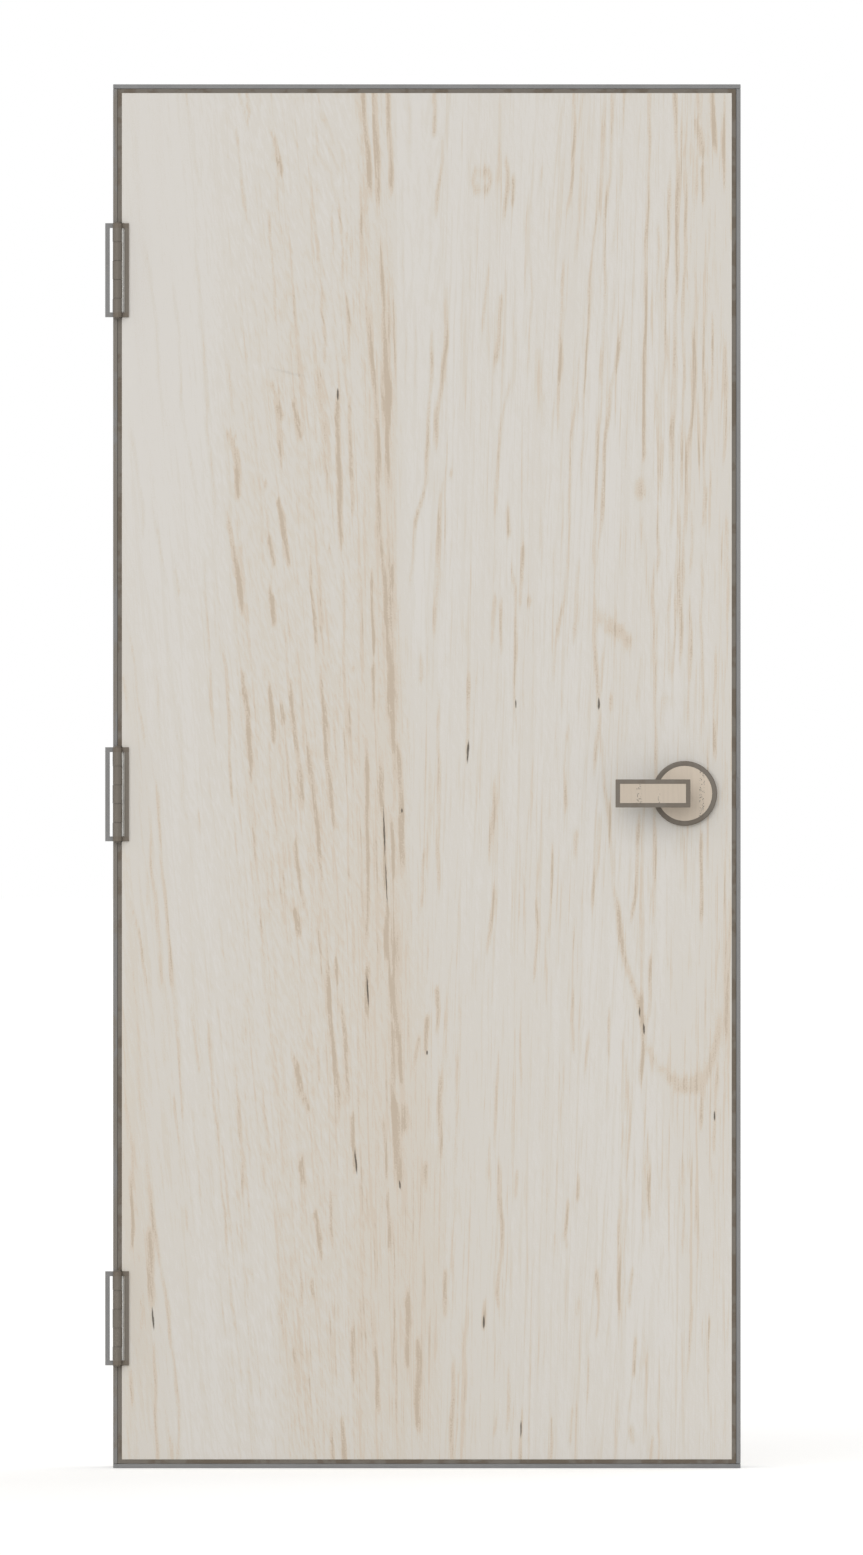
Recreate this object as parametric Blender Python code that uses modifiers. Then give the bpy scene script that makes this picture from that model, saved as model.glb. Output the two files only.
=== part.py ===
"""Flush wooden door in a slim steel frame, at full size, in metres.

The frame stands on Z = 0. X runs across the doorway and Y runs through the wall.
The leaf opens towards -Y. It turns on three hinges at its left edge and has a lever on each side.
"""

import math

import bmesh
import bpy
from mathutils import Matrix, Vector

# Doorway between the frame's inner faces
OPENING_WIDTH = 0.9144
OPENING_HEIGHT = 2.032

# Gap between solids that touch in the real door
FIT = 0.0003

# Frame of flat steel bar, with a stop on three sides and a seal on each stop
LINING_THICKNESS = 0.00635
LINING_DEPTH = 0.1016
STEEL_ARRIS = 0.0005
STOP_WIDTH = 0.0127
STOP_DEPTH = 0.0254
SEAL_WIDTH = 0.009
SEAL_THICKNESS = 0.0025
SEAL_ROUNDING = 0.00175
SEAL_CLEARANCE = 0.005

# Countersunk holes that fix the frame to the wall and the floor
FIXING_RADIUS = 0.0032
FIXING_HEAD_RADIUS = 0.0062
FIXING_INSET = 0.0125
FIXING_END_DISTANCE = 0.15
JAMB_FIXINGS = 4
SILL_FIXINGS = 3

# Leaf: a board core between stiles and rails, under a veneered face on each side
LEAF_THICKNESS = 0.04445
LEAF_GAP = 0.0066
FACE_THICKNESS = 0.0032
FACE_ARRIS = 0.0004
STILE_WIDTH = 0.035
RAIL_WIDTH = 0.06
LATCH_EDGE_BEVEL = math.radians(3.0)

# Hinges: five knuckles, an open flange on the face and a screwed plate on the edge
HINGE_HEIGHT = 0.139
BOTTOM_HINGE_UP = 0.20855
TOP_HINGE_DOWN = 0.26175
KNUCKLES = 5
KNUCKLE_GAP = 0.0005
BARREL_RADIUS = 0.0066
BARREL_STANDOFF = 0.001
BARREL_CLEARANCE = 0.0005
PIN_RADIUS = 0.0035
PIN_HEAD_OVERHANG = 0.0018
PIN_HEAD_HEIGHT = 0.0018
PIN_HEAD_FLAT = 0.6
PIN_HEAD_FALL = 0.15
PIN_HEAD_ROUNDING = 0.6
HINGE_METAL = 0.0022
WALL_FLANGE_REACH = 0.018
WALL_FLANGE_BAR = 0.0068
DOOR_FLANGE_REACH = 0.017
DOOR_FLANGE_BAR = 0.0064
FLANGE_END_BAR = 0.0072
EDGE_PLATE_WIDTH = 0.032
HINGE_SCREW_RADIUS = 0.0026
HINGE_SCREW_HEAD_RADIUS = 0.0046
HINGE_SCREWS = 4
HINGE_SCREW_END_DISTANCE = 0.0185
HINGE_SCREW_INSET = 0.011
HINGE_SCREW_STAGGER = 0.0105

# Lock: backset from the leaf's edge, height above the floor, and the bores in the leaf
LEVER_BACKSET = 0.06985
LEVER_HEIGHT = 0.997
CROSS_BORE_RADIUS = 0.027
LATCH_BORE_RADIUS = 0.0127
CHASSIS_CLEARANCE = 0.002

# Roses: a dark ring round a tan cover
ROSE_RADIUS = 0.048
ROSE_RING_WIDTH = 0.007
ROSE_HEIGHT = 0.0095
ROSE_ROUNDING = 0.0018
ROSE_LEDGE = 0.003
COVER_THICKNESS = 0.0028
COVER_DOME = 0.0007

# Levers: a neck on the square spindle and a flat bar with an inlaid face
NECK_RADIUS = 0.0068
NECK_CLEARANCE = 0.0005
COLLAR_RADIUS = 0.0078
COLLAR_HEIGHT = 0.004
COLLAR_EDGE = 0.0008
COLLAR_STANDOFF = 0.0008
NECK_FLARE = 0.006
NECK_START = 0.0015
GRIP_STANDOFF = 0.045
GRIP_THICKNESS = 0.012
GRIP_HEIGHT = 0.0414
GRIP_TIP = 0.1024
GRIP_HEEL = 0.0079
GRIP_BACK_ROUNDING = 0.0035
GRIP_ARRIS = 0.0006
INLAY_BORDER = 0.0062
INLAY_THICKNESS = 0.0016
SPINDLE_SIDE = 0.0076
SPINDLE_CLEARANCE = 0.0005
SOCKET_DEPTH = 0.014

# Latch in the leaf's edge, with its bolt drawn back flush, and its strike on the jamb
LATCH_PLATE_HEIGHT = 0.0572
LATCH_PLATE_WIDTH = 0.0286
LATCH_PLATE_THICKNESS = 0.0026
LATCH_PLATE_CORNER = 0.006
LATCH_SCREW_SPACING = 0.0413
LATCH_SCREW_RADIUS = 0.0021
LATCH_SCREW_HEAD_RADIUS = 0.0038
LATCH_CASE_RADIUS = 0.0122
BOLT_HEIGHT = 0.018
BOLT_WIDTH = 0.0127
BOLT_LENGTH = 0.018
BOLT_NOSE = 0.009
STRIKE_HEIGHT = 0.1238
STRIKE_WIDTH = 0.0318
STRIKE_THICKNESS = 0.0024
STRIKE_CORNER = 0.004
STRIKE_LIP_HEIGHT = 0.0445
STRIKE_HOLE_MARGIN = 0.0025
STRIKE_SCREW_SPACING = 0.1048

# Facets of the round pieces
BARREL_FACETS = 24
ROSE_FACETS = 56
HOLE_FACETS = 16
ARC_STEPS = 4
DOME_STEPS = 2

# Planes that the pieces share
FRONT = -LINING_DEPTH / 2
BACK = LINING_DEPTH / 2
LEFT = -OPENING_WIDTH / 2
RIGHT = OPENING_WIDTH / 2
FLOOR = LINING_THICKNESS
TOP = FLOOR + OPENING_HEIGHT
LEAF_LEFT = LEFT + LEAF_GAP
LEAF_RIGHT = RIGHT - LEAF_GAP
LEAF_BOTTOM = FLOOR + LEAF_GAP
LEAF_TOP = TOP - LEAF_GAP
LEAF_BACK = FRONT + LEAF_THICKNESS
LEAF_MIDDLE = FRONT + LEAF_THICKNESS / 2
STOP_FRONT = LEAF_BACK + SEAL_CLEARANCE + SEAL_THICKNESS

# Places of the hinge axis and the lever's axis
HINGE_SEAT = BARREL_RADIUS + BARREL_STANDOFF
HINGE_AXIS = Vector((LEFT, FRONT - HINGE_SEAT, 0.0))
BOTTOM_HINGE = LEAF_BOTTOM + BOTTOM_HINGE_UP
TOP_HINGE = LEAF_TOP - TOP_HINGE_DOWN
HINGE_HEIGHTS = {
    "bottom": BOTTOM_HINGE,
    "middle": (BOTTOM_HINGE + TOP_HINGE) / 2,
    "top": TOP_HINGE,
}
LEVER_AXIS = Vector((LEAF_RIGHT - LEVER_BACKSET, LEAF_MIDDLE, LEVER_HEIGHT))

# How far past a face a cutter reaches
PROUD = 0.002


# Scene, collections and finishes


def clear_scene():
    """Remove every object that the file opened with."""
    for old in list(bpy.data.objects):
        bpy.data.objects.remove(old, do_unlink=True)


def new_collection(name):
    """Add a collection to the scene."""
    collection = bpy.data.collections.new(name)
    bpy.context.scene.collection.children.link(collection)
    return collection


def new_finish(name, colour, roughness, metallic=0.0):
    """A Principled material of one colour, given as linear red, green and blue."""
    material = bpy.data.materials.new(name)
    material.use_nodes = True
    shader = material.node_tree.nodes["Principled BSDF"]
    shader.inputs["Base Color"].default_value = (*colour, 1.0)
    shader.inputs["Roughness"].default_value = roughness
    shader.inputs["Metallic"].default_value = metallic
    material.diffuse_color = (*colour, 1.0)
    return material


clear_scene()
PARTS = new_collection("wooden_door")
CUTTERS = new_collection("cutters")

VENEER = new_finish("pale_veneer", (0.651, 0.608, 0.545), 0.55)
EDGE_WOOD = new_finish("edge_wood", (0.578, 0.508, 0.421), 0.6)
CORE_BOARD = new_finish("core_board", (0.440, 0.330, 0.220), 0.8)
GREY_STEEL = new_finish("grey_steel", (0.242, 0.242, 0.242), 0.45, 0.3)
BRONZE_GREY = new_finish("bronze_grey_steel", (0.178, 0.152, 0.124), 0.45, 0.3)
TAN_WOOD = new_finish("tan_wood", (0.552, 0.474, 0.386), 0.5)
BRIGHT_STEEL = new_finish("bright_steel", (0.560, 0.560, 0.550), 0.35, 0.9)
SEAL_RUBBER = new_finish("seal_rubber", (0.060, 0.055, 0.050), 0.85)


# Solids


def place(mesh, name, at=(0.0, 0.0, 0.0), collection=None):
    """An object that shows the mesh, in the collection of parts unless another is given."""
    solid = bpy.data.objects.new(name, mesh)
    solid.location = at
    (collection or PARTS).objects.link(solid)
    return solid


def box(name, low, high, corner=0.0, along="", collection=None):
    """A box between two corners. The edges along one axis can be rounded to a corner radius."""
    low, high = Vector(low), Vector(high)
    form = bmesh.new()
    bmesh.ops.create_cube(form, size=1.0, matrix=Matrix.Diagonal((*(high - low), 1.0)))
    if along:
        axis = "xyz".index(along)
        lengthwise = [e for e in form.edges if abs((e.verts[0].co - e.verts[1].co)[axis]) > 1e-6]
        bmesh.ops.bevel(
            form, geom=lengthwise, offset=corner, segments=ARC_STEPS, profile=0.5, affect="EDGES"
        )
    mesh = bpy.data.meshes.new(name)
    form.to_mesh(mesh)
    form.free()
    return place(mesh, name, (low + high) / 2, collection)


def cylinder(name, radius, start, end, end_radius=None, facets=BARREL_FACETS, collection=None):
    """A round bar from start to end, or a cone where the end has another radius."""
    start, end = Vector(start), Vector(end)
    along = end - start
    turn = along.to_track_quat("Z", "Y").to_matrix().to_4x4()
    form = bmesh.new()
    bmesh.ops.create_cone(
        form,
        cap_ends=True,
        segments=facets,
        radius1=radius,
        radius2=radius if end_radius is None else end_radius,
        depth=along.length,
        matrix=turn,
    )
    mesh = bpy.data.meshes.new(name)
    form.to_mesh(mesh)
    form.free()
    mesh.shade_smooth()
    mesh.set_sharp_from_angle(angle=math.radians(30))
    return place(mesh, name, (start + end) / 2, collection)


def turned(name, profile, facets, closed=False, collection=None):
    """A solid turned about its own Z. The profile's (radius, height) points run top to bottom."""
    form = bmesh.new()
    points = [form.verts.new((radius, 0.0, height)) for radius, height in profile]
    for first, second in zip(points, points[1:]):
        form.edges.new((first, second))
    if closed:
        form.edges.new((points[-1], points[0]))
    mesh = bpy.data.meshes.new(name)
    form.to_mesh(mesh)
    form.free()
    solid = place(mesh, name, collection=collection)
    screw = solid.modifiers.new("turn", "SCREW")
    screw.steps = screw.render_steps = facets
    screw.use_merge_vertices = True
    screw.merge_threshold = 0.00001
    return solid


def extruded(name, outline, low, high):
    """A mesh with one outline in X and Y, from a low to a high Z."""
    curve = bpy.data.curves.new(name, "CURVE")
    curve.dimensions = "2D"
    curve.fill_mode = "BOTH"
    curve.extrude = (high - low) / 2
    spline = curve.splines.new("POLY")
    spline.points.add(len(outline) - 1)
    for point, (x, y) in zip(spline.points, outline):
        point.co = (x, y, 0.0, 1.0)
    spline.use_cyclic_u = True
    flat = place(curve, name, (0.0, 0.0, (low + high) / 2), CUTTERS)
    mesh = baked(flat, name)
    form = bmesh.new()
    form.from_mesh(mesh)
    bmesh.ops.remove_doubles(form, verts=form.verts, dist=0.000001)
    bmesh.ops.recalc_face_normals(form, faces=form.faces)
    form.to_mesh(mesh)
    form.free()
    return mesh


def rounded_corner(centre_radius, centre_height, rounding):
    """Profile points of a quarter round, from its top to its outer side."""
    angles = [math.pi / 2 * (1 - step / ARC_STEPS) for step in range(ARC_STEPS + 1)]
    return [
        (centre_radius + rounding * math.cos(a), centre_height + rounding * math.sin(a))
        for a in angles
    ]


def soften(solid, width):
    """A narrow flat bevel on every edge."""
    bevel = solid.modifiers.new("arris", "BEVEL")
    bevel.width = width
    bevel.segments = 1
    bevel.limit_method = "ANGLE"
    return solid


def change(solid, tool, operation):
    """A Boolean of the solid with another, which becomes a hidden tool."""
    modifier = solid.modifiers.new(tool.name, "BOOLEAN")
    modifier.operation = operation
    modifier.object = tool
    tool.hide_render = True
    tool.display_type = "WIRE"
    return solid


def cut(solid, *tools):
    """Cut each tool out of the solid."""
    for tool in tools:
        change(solid, tool, "DIFFERENCE")
    return solid


def join(solid, *tools):
    """Join each tool to the solid."""
    for tool in tools:
        change(solid, tool, "UNION")
    return solid


def baked(solid, name):
    """The solid's shape with its modifiers applied, as a mesh. The solid and its tools are removed."""
    bpy.context.view_layer.update()
    graph = bpy.context.evaluated_depsgraph_get()
    mesh = bpy.data.meshes.new_from_object(solid.evaluated_get(graph))
    mesh.name = name
    mesh.transform(solid.matrix_world)
    mesh.shade_smooth()
    mesh.set_sharp_from_angle(angle=math.radians(30))
    tools = [m.object for m in solid.modifiers if m.type == "BOOLEAN"]
    for used in [solid, *tools]:
        bpy.data.objects.remove(used, do_unlink=True)
    return mesh


def countersunk(name, at, direction, depth, radius, head_radius):
    """A turned tool for a screw hole whose head sits in the face at the given point."""
    head_depth = head_radius - radius
    profile = [
        (0.0, PROUD),
        (head_radius + PROUD, PROUD),
        (radius, -head_depth),
        (radius, -depth - PROUD),
        (0.0, -depth - PROUD),
    ]
    tool = turned(name, profile, HOLE_FACETS, collection=CUTTERS)
    tool.rotation_euler = Vector(direction).to_track_quat("Z", "Y").to_euler()
    tool.location = at
    return tool


def dress(solid, material):
    """Give a solid its one material."""
    solid.data.materials.clear()
    solid.data.materials.append(material)
    return solid


def empty_at(name, at):
    """An empty that marks a joint's axis."""
    marker = bpy.data.objects.new(name, None)
    marker.location = at
    marker.empty_display_size = 0.1
    PARTS.objects.link(marker)
    return marker


def carry(marker, solids):
    """Parent solids to a marker without moving them."""
    bpy.context.view_layer.update()
    for solid in solids:
        solid.parent = marker
        solid.matrix_parent_inverse = marker.matrix_world.inverted()


# Frame


def lining_bar(name, low, high, material):
    """One flat bar of the frame, the full depth of the lining."""
    bar = box(name, (low[0], FRONT, low[1]), (high[0], BACK, high[1]))
    return dress(soften(bar, STEEL_ARRIS), material)


def fixing_heights():
    """Heights of the jambs' fixing holes, evenly spaced."""
    lowest = FLOOR + FIXING_END_DISTANCE
    step = (OPENING_HEIGHT - 2 * FIXING_END_DISTANCE) / (JAMB_FIXINGS - 1)
    return [lowest + step * row for row in range(JAMB_FIXINGS)]


def drill_jamb(jamb, inner_face, side):
    """Holes that fix a jamb to the wall, behind the stop."""
    for row, height in enumerate(fixing_heights()):
        cut(
            jamb,
            countersunk(
                f"{jamb.name}_fixing_{row}", (inner_face, BACK - FIXING_INSET, height),
                (-side, 0, 0), LINING_THICKNESS, FIXING_RADIUS, FIXING_HEAD_RADIUS,
            ),
        )


def make_frame():
    """The four bars of the lining."""
    outer_left, outer_right = LEFT - LINING_THICKNESS, RIGHT + LINING_THICKNESS
    sill = lining_bar("frame_sill", (outer_left, 0.0), (outer_right, FLOOR), GREY_STEEL)
    head = lining_bar(
        "frame_head", (outer_left, TOP), (outer_right, TOP + LINING_THICKNESS), GREY_STEEL
    )
    hinge_jamb = lining_bar("hinge_jamb", (outer_left, FLOOR + FIT), (LEFT, TOP - FIT), BRONZE_GREY)
    latch_jamb = lining_bar("latch_jamb", (RIGHT, FLOOR + FIT), (outer_right, TOP - FIT), GREY_STEEL)
    drill_jamb(hinge_jamb, LEFT, -1)
    drill_jamb(latch_jamb, RIGHT, 1)
    spread = OPENING_WIDTH - 2 * FIXING_END_DISTANCE
    for row in range(SILL_FIXINGS):
        x = LEFT + FIXING_END_DISTANCE + spread * row / (SILL_FIXINGS - 1)
        cut(
            sill,
            countersunk(
                f"sill_fixing_{row}", (x, BACK - FIXING_INSET, FLOOR),
                (0, 0, 1), LINING_THICKNESS, FIXING_RADIUS, FIXING_HEAD_RADIUS,
            ),
        )
    for height_name, height in HINGE_HEIGHTS.items():
        cut(hinge_jamb, edge_plate_pocket(f"jamb_pocket_{height_name}", LEFT, -1, height))
    cut(latch_jamb, *strike_tools("jamb_strike", FIT))
    return sill, head, hinge_jamb, latch_jamb


def make_stops():
    """Flat bars that the leaf closes towards, on both jambs and the head."""
    stop_back = STOP_FRONT + STOP_DEPTH
    under_head = TOP - FIT - STOP_WIDTH
    spans = {
        "hinge_side_stop": ((LEFT + FIT, FLOOR + FIT), (LEFT + FIT + STOP_WIDTH, under_head - FIT)),
        "latch_side_stop": ((RIGHT - FIT - STOP_WIDTH, FLOOR + FIT), (RIGHT - FIT, under_head - FIT)),
        "head_stop": ((LEFT + FIT, under_head), (RIGHT - FIT, TOP - FIT)),
    }
    for name, (low, high) in spans.items():
        stop = box(name, (low[0], STOP_FRONT, low[1]), (high[0], stop_back, high[1]))
        dress(soften(stop, STEEL_ARRIS), GREY_STEEL)


def make_seals():
    """Rubber strips with a rounded front, one on each stop."""
    margin = (STOP_WIDTH - SEAL_WIDTH) / 2
    under_head = TOP - FIT - STOP_WIDTH
    front, back = STOP_FRONT - SEAL_THICKNESS, STOP_FRONT - FIT
    left, right = LEFT + FIT + margin, RIGHT - FIT - margin
    spans = {
        "hinge_side_seal": ((left, FLOOR + FIT), (left + SEAL_WIDTH, under_head), "z"),
        "latch_side_seal": ((right - SEAL_WIDTH, FLOOR + FIT), (right, under_head), "z"),
        "head_seal": ((left, under_head + margin), (right, under_head + margin + SEAL_WIDTH), "x"),
    }
    for name, (low, high, along) in spans.items():
        seal = box(name, (low[0], front, low[1]), (high[0], back, high[1]))
        dress(round_front(seal, along), SEAL_RUBBER)


def round_front(seal, along):
    """Round the two long front edges of a seal strip."""
    form = bmesh.new()
    form.from_mesh(seal.data)
    axis = "xyz".index(along)
    front = min(v.co.y for v in form.verts)
    edges = [
        e
        for e in form.edges
        if all(v.co.y - front < 1e-6 for v in e.verts)
        and abs((e.verts[0].co - e.verts[1].co)[axis]) > 1e-6
    ]
    bmesh.ops.bevel(
        form, geom=edges, offset=SEAL_ROUNDING, segments=ARC_STEPS, profile=0.5, affect="EDGES"
    )
    form.to_mesh(seal.data)
    form.free()
    return seal


# Strike plate


def strike_tools(name, allowance):
    """The strike's plate, its lip and its latch hole as tools, each larger all round by the allowance."""
    grow = Vector((0.0, allowance, allowance))
    depth = STRIKE_THICKNESS + allowance
    half = Vector((0.0, STRIKE_WIDTH / 2, STRIKE_HEIGHT / 2)) + grow
    middle = Vector((RIGHT, LEAF_MIDDLE, LEVER_HEIGHT))
    plate = box(
        name + "_plate", middle - half - Vector((PROUD, 0, 0)), middle + half + Vector((depth, 0, 0)),
        corner=STRIKE_CORNER, along="x", collection=CUTTERS,
    )
    lip = box(
        name + "_lip",
        (RIGHT - PROUD, FRONT - PROUD, LEVER_HEIGHT - STRIKE_LIP_HEIGHT / 2 - allowance),
        (RIGHT + depth, LEAF_MIDDLE, LEVER_HEIGHT + STRIKE_LIP_HEIGHT / 2 + allowance),
        collection=CUTTERS,
    )
    return plate, lip, strike_hole(name + "_hole", allowance)


def strike_hole(name, allowance):
    """A tool for the hole that the latch bolt enters, through the strike and the jamb."""
    half_width = BOLT_WIDTH / 2 + STRIKE_HOLE_MARGIN + allowance
    half_height = BOLT_HEIGHT / 2 + STRIKE_HOLE_MARGIN + allowance
    return box(
        name,
        (RIGHT - PROUD, LEAF_MIDDLE - half_width, LEVER_HEIGHT - half_height),
        (RIGHT + LINING_THICKNESS + PROUD, LEAF_MIDDLE + half_width, LEVER_HEIGHT + half_height),
        collection=CUTTERS,
    )


def make_strike():
    """A plate let in flush with the jamb, with a lip to the jamb's front edge."""
    half = Vector((0.0, STRIKE_WIDTH / 2, STRIKE_HEIGHT / 2))
    middle = Vector((RIGHT, LEAF_MIDDLE, LEVER_HEIGHT))
    strike = box(
        "strike_plate", middle - half, middle + half + Vector((STRIKE_THICKNESS, 0, 0)),
        corner=STRIKE_CORNER, along="x",
    )
    lip = box(
        "strike_lip",
        (RIGHT, FRONT, LEVER_HEIGHT - STRIKE_LIP_HEIGHT / 2),
        (RIGHT + STRIKE_THICKNESS, LEAF_MIDDLE, LEVER_HEIGHT + STRIKE_LIP_HEIGHT / 2),
        collection=CUTTERS,
    )
    join(strike, lip)
    cut(strike, strike_hole("strike_latch_hole", 0.0))
    for end in (-1, 1):
        screw_at = (RIGHT, LEAF_MIDDLE, LEVER_HEIGHT + end * STRIKE_SCREW_SPACING / 2)
        cut(
            strike,
            countersunk(
                f"strike_screw_{end}", screw_at, (-1, 0, 0), STRIKE_THICKNESS,
                HINGE_SCREW_RADIUS, HINGE_SCREW_HEAD_RADIUS,
            ),
        )
    return dress(strike, BRIGHT_STEEL)


# Leaf


def latch_edge(y):
    """X of the leaf's bevelled latch edge at a depth, which is furthest out at the front."""
    return LEAF_RIGHT - (y - FRONT) * math.tan(LATCH_EDGE_BEVEL)


def board(name, low, high, to_latch_edge=False):
    """A board of the leaf. One that ends at the latch edge follows its bevel."""
    solid = box(name, low, high)
    if to_latch_edge:
        for vertex in solid.data.vertices:
            if vertex.co.x > 0:
                vertex.co.x = latch_edge(solid.location.y + vertex.co.y) - solid.location.x
    return solid


def edge_plate_pocket(name, face, side, height):
    """A tool for the pocket that a hinge's edge plate is let into, in a face at X."""
    inner = face + side * (HINGE_METAL + FIT)
    outer = face - side * PROUD
    half = HINGE_HEIGHT / 2 + FIT
    return box(
        name,
        (min(inner, outer), FRONT - PROUD, height - half),
        (max(inner, outer), FRONT + EDGE_PLATE_WIDTH + FIT, height + half),
        collection=CUTTERS,
    )


def make_leaf():
    """Core, stiles, rails and the two faces, with their mortises and bores."""
    core_front, core_back = FRONT + FACE_THICKNESS + FIT, LEAF_BACK - FACE_THICKNESS - FIT
    stile_inner_left = LEAF_LEFT + STILE_WIDTH
    stile_inner_right = LEAF_RIGHT - STILE_WIDTH
    hinge_stile = board(
        "hinge_stile", (LEAF_LEFT, core_front, LEAF_BOTTOM), (stile_inner_left, core_back, LEAF_TOP)
    )
    latch_stile = board(
        "latch_stile", (stile_inner_right, core_front, LEAF_BOTTOM),
        (LEAF_RIGHT, core_back, LEAF_TOP), to_latch_edge=True,
    )
    core = board(
        "leaf_core",
        (stile_inner_left + FIT, core_front, LEAF_BOTTOM + RAIL_WIDTH + FIT),
        (stile_inner_right - FIT, core_back, LEAF_TOP - RAIL_WIDTH - FIT),
    )
    rails = [
        board(
            name, (stile_inner_left + FIT, core_front, low), (stile_inner_right - FIT, core_back, high)
        )
        for name, low, high in (
            ("bottom_rail", LEAF_BOTTOM, LEAF_BOTTOM + RAIL_WIDTH),
            ("top_rail", LEAF_TOP - RAIL_WIDTH, LEAF_TOP),
        )
    ]
    front = board(
        "front_face", (LEAF_LEFT, FRONT, LEAF_BOTTOM),
        (LEAF_RIGHT, FRONT + FACE_THICKNESS, LEAF_TOP), to_latch_edge=True,
    )
    back = board(
        "back_face", (LEAF_LEFT, LEAF_BACK - FACE_THICKNESS, LEAF_BOTTOM),
        (LEAF_RIGHT, LEAF_BACK, LEAF_TOP), to_latch_edge=True,
    )
    for face in (front, back):
        soften(face, FACE_ARRIS)
    cross_bore = cylinder(
        "cross_bore", CROSS_BORE_RADIUS,
        LEVER_AXIS - Vector((0, LEAF_THICKNESS, 0)), LEVER_AXIS + Vector((0, LEAF_THICKNESS, 0)),
        facets=ROSE_FACETS, collection=CUTTERS,
    )
    latch_bore = cylinder(
        "latch_bore", LATCH_BORE_RADIUS, LEVER_AXIS, (RIGHT, LEVER_AXIS.y, LEVER_AXIS.z),
        collection=CUTTERS,
    )
    cut(core, cross_bore, latch_bore)
    cut(front, cross_bore)
    cut(back, cross_bore)
    cut(latch_stile, latch_bore, latch_plate("latch_mortise", FIT, CUTTERS))
    for height_name, height in HINGE_HEIGHTS.items():
        pocket = edge_plate_pocket(f"leaf_pocket_{height_name}", LEAF_LEFT, 1, height)
        cut(hinge_stile, pocket)
        cut(front, pocket)
    dress(core, CORE_BOARD)
    for piece in (hinge_stile, latch_stile, *rails):
        dress(piece, EDGE_WOOD)
    for piece in (front, back):
        dress(piece, VENEER)
    return [core, hinge_stile, latch_stile, *rails, front, back]


# Hinges, modelled about the hinge axis at their middle height


def knuckle_span(number):
    """Lowest and highest point of a knuckle, counted from the bottom."""
    pitch = HINGE_HEIGHT / KNUCKLES
    low = -HINGE_HEIGHT / 2 + pitch * number
    bottom = low if number == 0 else low + KNUCKLE_GAP / 2
    top = low + pitch if number == KNUCKLES - 1 else low + pitch - KNUCKLE_GAP / 2
    return bottom, top


def hinge_outline(side, edge, reach):
    """The plate's section: edge plate, flange and barrel, for side -1 or 1 and a fold at X = edge."""
    flange_back = HINGE_SEAT - FIT
    flange_front = flange_back - HINGE_METAL
    meeting = math.acos(flange_front / BARREL_RADIUS)
    turn = 2 * math.pi - meeting
    barrel = [
        (
            side * BARREL_RADIUS * math.sin(meeting + turn * step / BARREL_FACETS),
            BARREL_RADIUS * math.cos(meeting + turn * step / BARREL_FACETS),
        )
        for step in range(BARREL_FACETS + 1)
    ]
    fold = [(edge, BARREL_RADIUS)] if edge else []
    return fold + [
        (edge, HINGE_SEAT + EDGE_PLATE_WIDTH),
        (edge + side * HINGE_METAL, HINGE_SEAT + EDGE_PLATE_WIDTH),
        (edge + side * HINGE_METAL, flange_back),
        (side * reach, flange_back),
        (side * reach, flange_front),
        *barrel,
    ]


def hinge_plate_mesh(name, side, edge, reach, bar, own_knuckles):
    """One half of a hinge. Side is -1 for the frame's and 1 for the leaf's; it folds back at X = edge."""
    half = HINGE_HEIGHT / 2
    inner = BARREL_RADIUS + BARREL_CLEARANCE
    outline = hinge_outline(side, edge, reach)
    plate = place(extruded(name, outline, -half, half), name, collection=CUTTERS)

    def opening(label, x_from, x_to, z_from, z_to):
        return box(
            f"{name}_{label}", (min(x_from, x_to), -BARREL_RADIUS - PROUD, z_from),
            (max(x_from, x_to), HINGE_SEAT, z_to), collection=CUTTERS,
        )

    for number in range(KNUCKLES):
        if number not in own_knuckles:
            bottom, top = knuckle_span(number)
            cut(plate, opening(f"notch_{number}", -side * (BARREL_RADIUS + PROUD), side * inner,
                               bottom - KNUCKLE_GAP, top + KNUCKLE_GAP))
    cut(plate, opening("window", side * inner, side * (reach - bar),
                       -half + FLANGE_END_BAR, half - FLANGE_END_BAR))
    cut(plate, cylinder(name + "_bore", PIN_RADIUS + FIT, (0, 0, -half - PROUD), (0, 0, half + PROUD),
                        collection=CUTTERS))
    lowest_screw = -half + HINGE_SCREW_END_DISTANCE
    for row in range(HINGE_SCREWS):
        height = lowest_screw * (1 - 2 * row / (HINGE_SCREWS - 1))
        inset = HINGE_SCREW_INSET + HINGE_SCREW_STAGGER * (row % 2)
        cut(plate, countersunk(f"{name}_screw_{row}", (edge, HINGE_SEAT + inset, height),
                               (-side, 0, 0), HINGE_METAL, HINGE_SCREW_RADIUS,
                               HINGE_SCREW_HEAD_RADIUS))
    return baked(plate, name)


def hinge_pin_mesh():
    """A pin with a low button on each end of the barrel."""
    half = HINGE_HEIGHT / 2
    head = PIN_RADIUS + PIN_HEAD_OVERHANG
    crown = half + FIT + PIN_HEAD_HEIGHT
    outline = [
        (0.0, crown),
        (head * PIN_HEAD_FLAT, crown - PIN_HEAD_HEIGHT * PIN_HEAD_FALL),
        (head, crown - PIN_HEAD_HEIGHT * PIN_HEAD_ROUNDING),
        (head, half + FIT),
        (PIN_RADIUS, half + FIT),
    ]
    profile = outline + [(radius, -height) for radius, height in reversed(outline)]
    return baked(turned("hinge_pin", profile, BARREL_FACETS), "hinge_pin")


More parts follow.
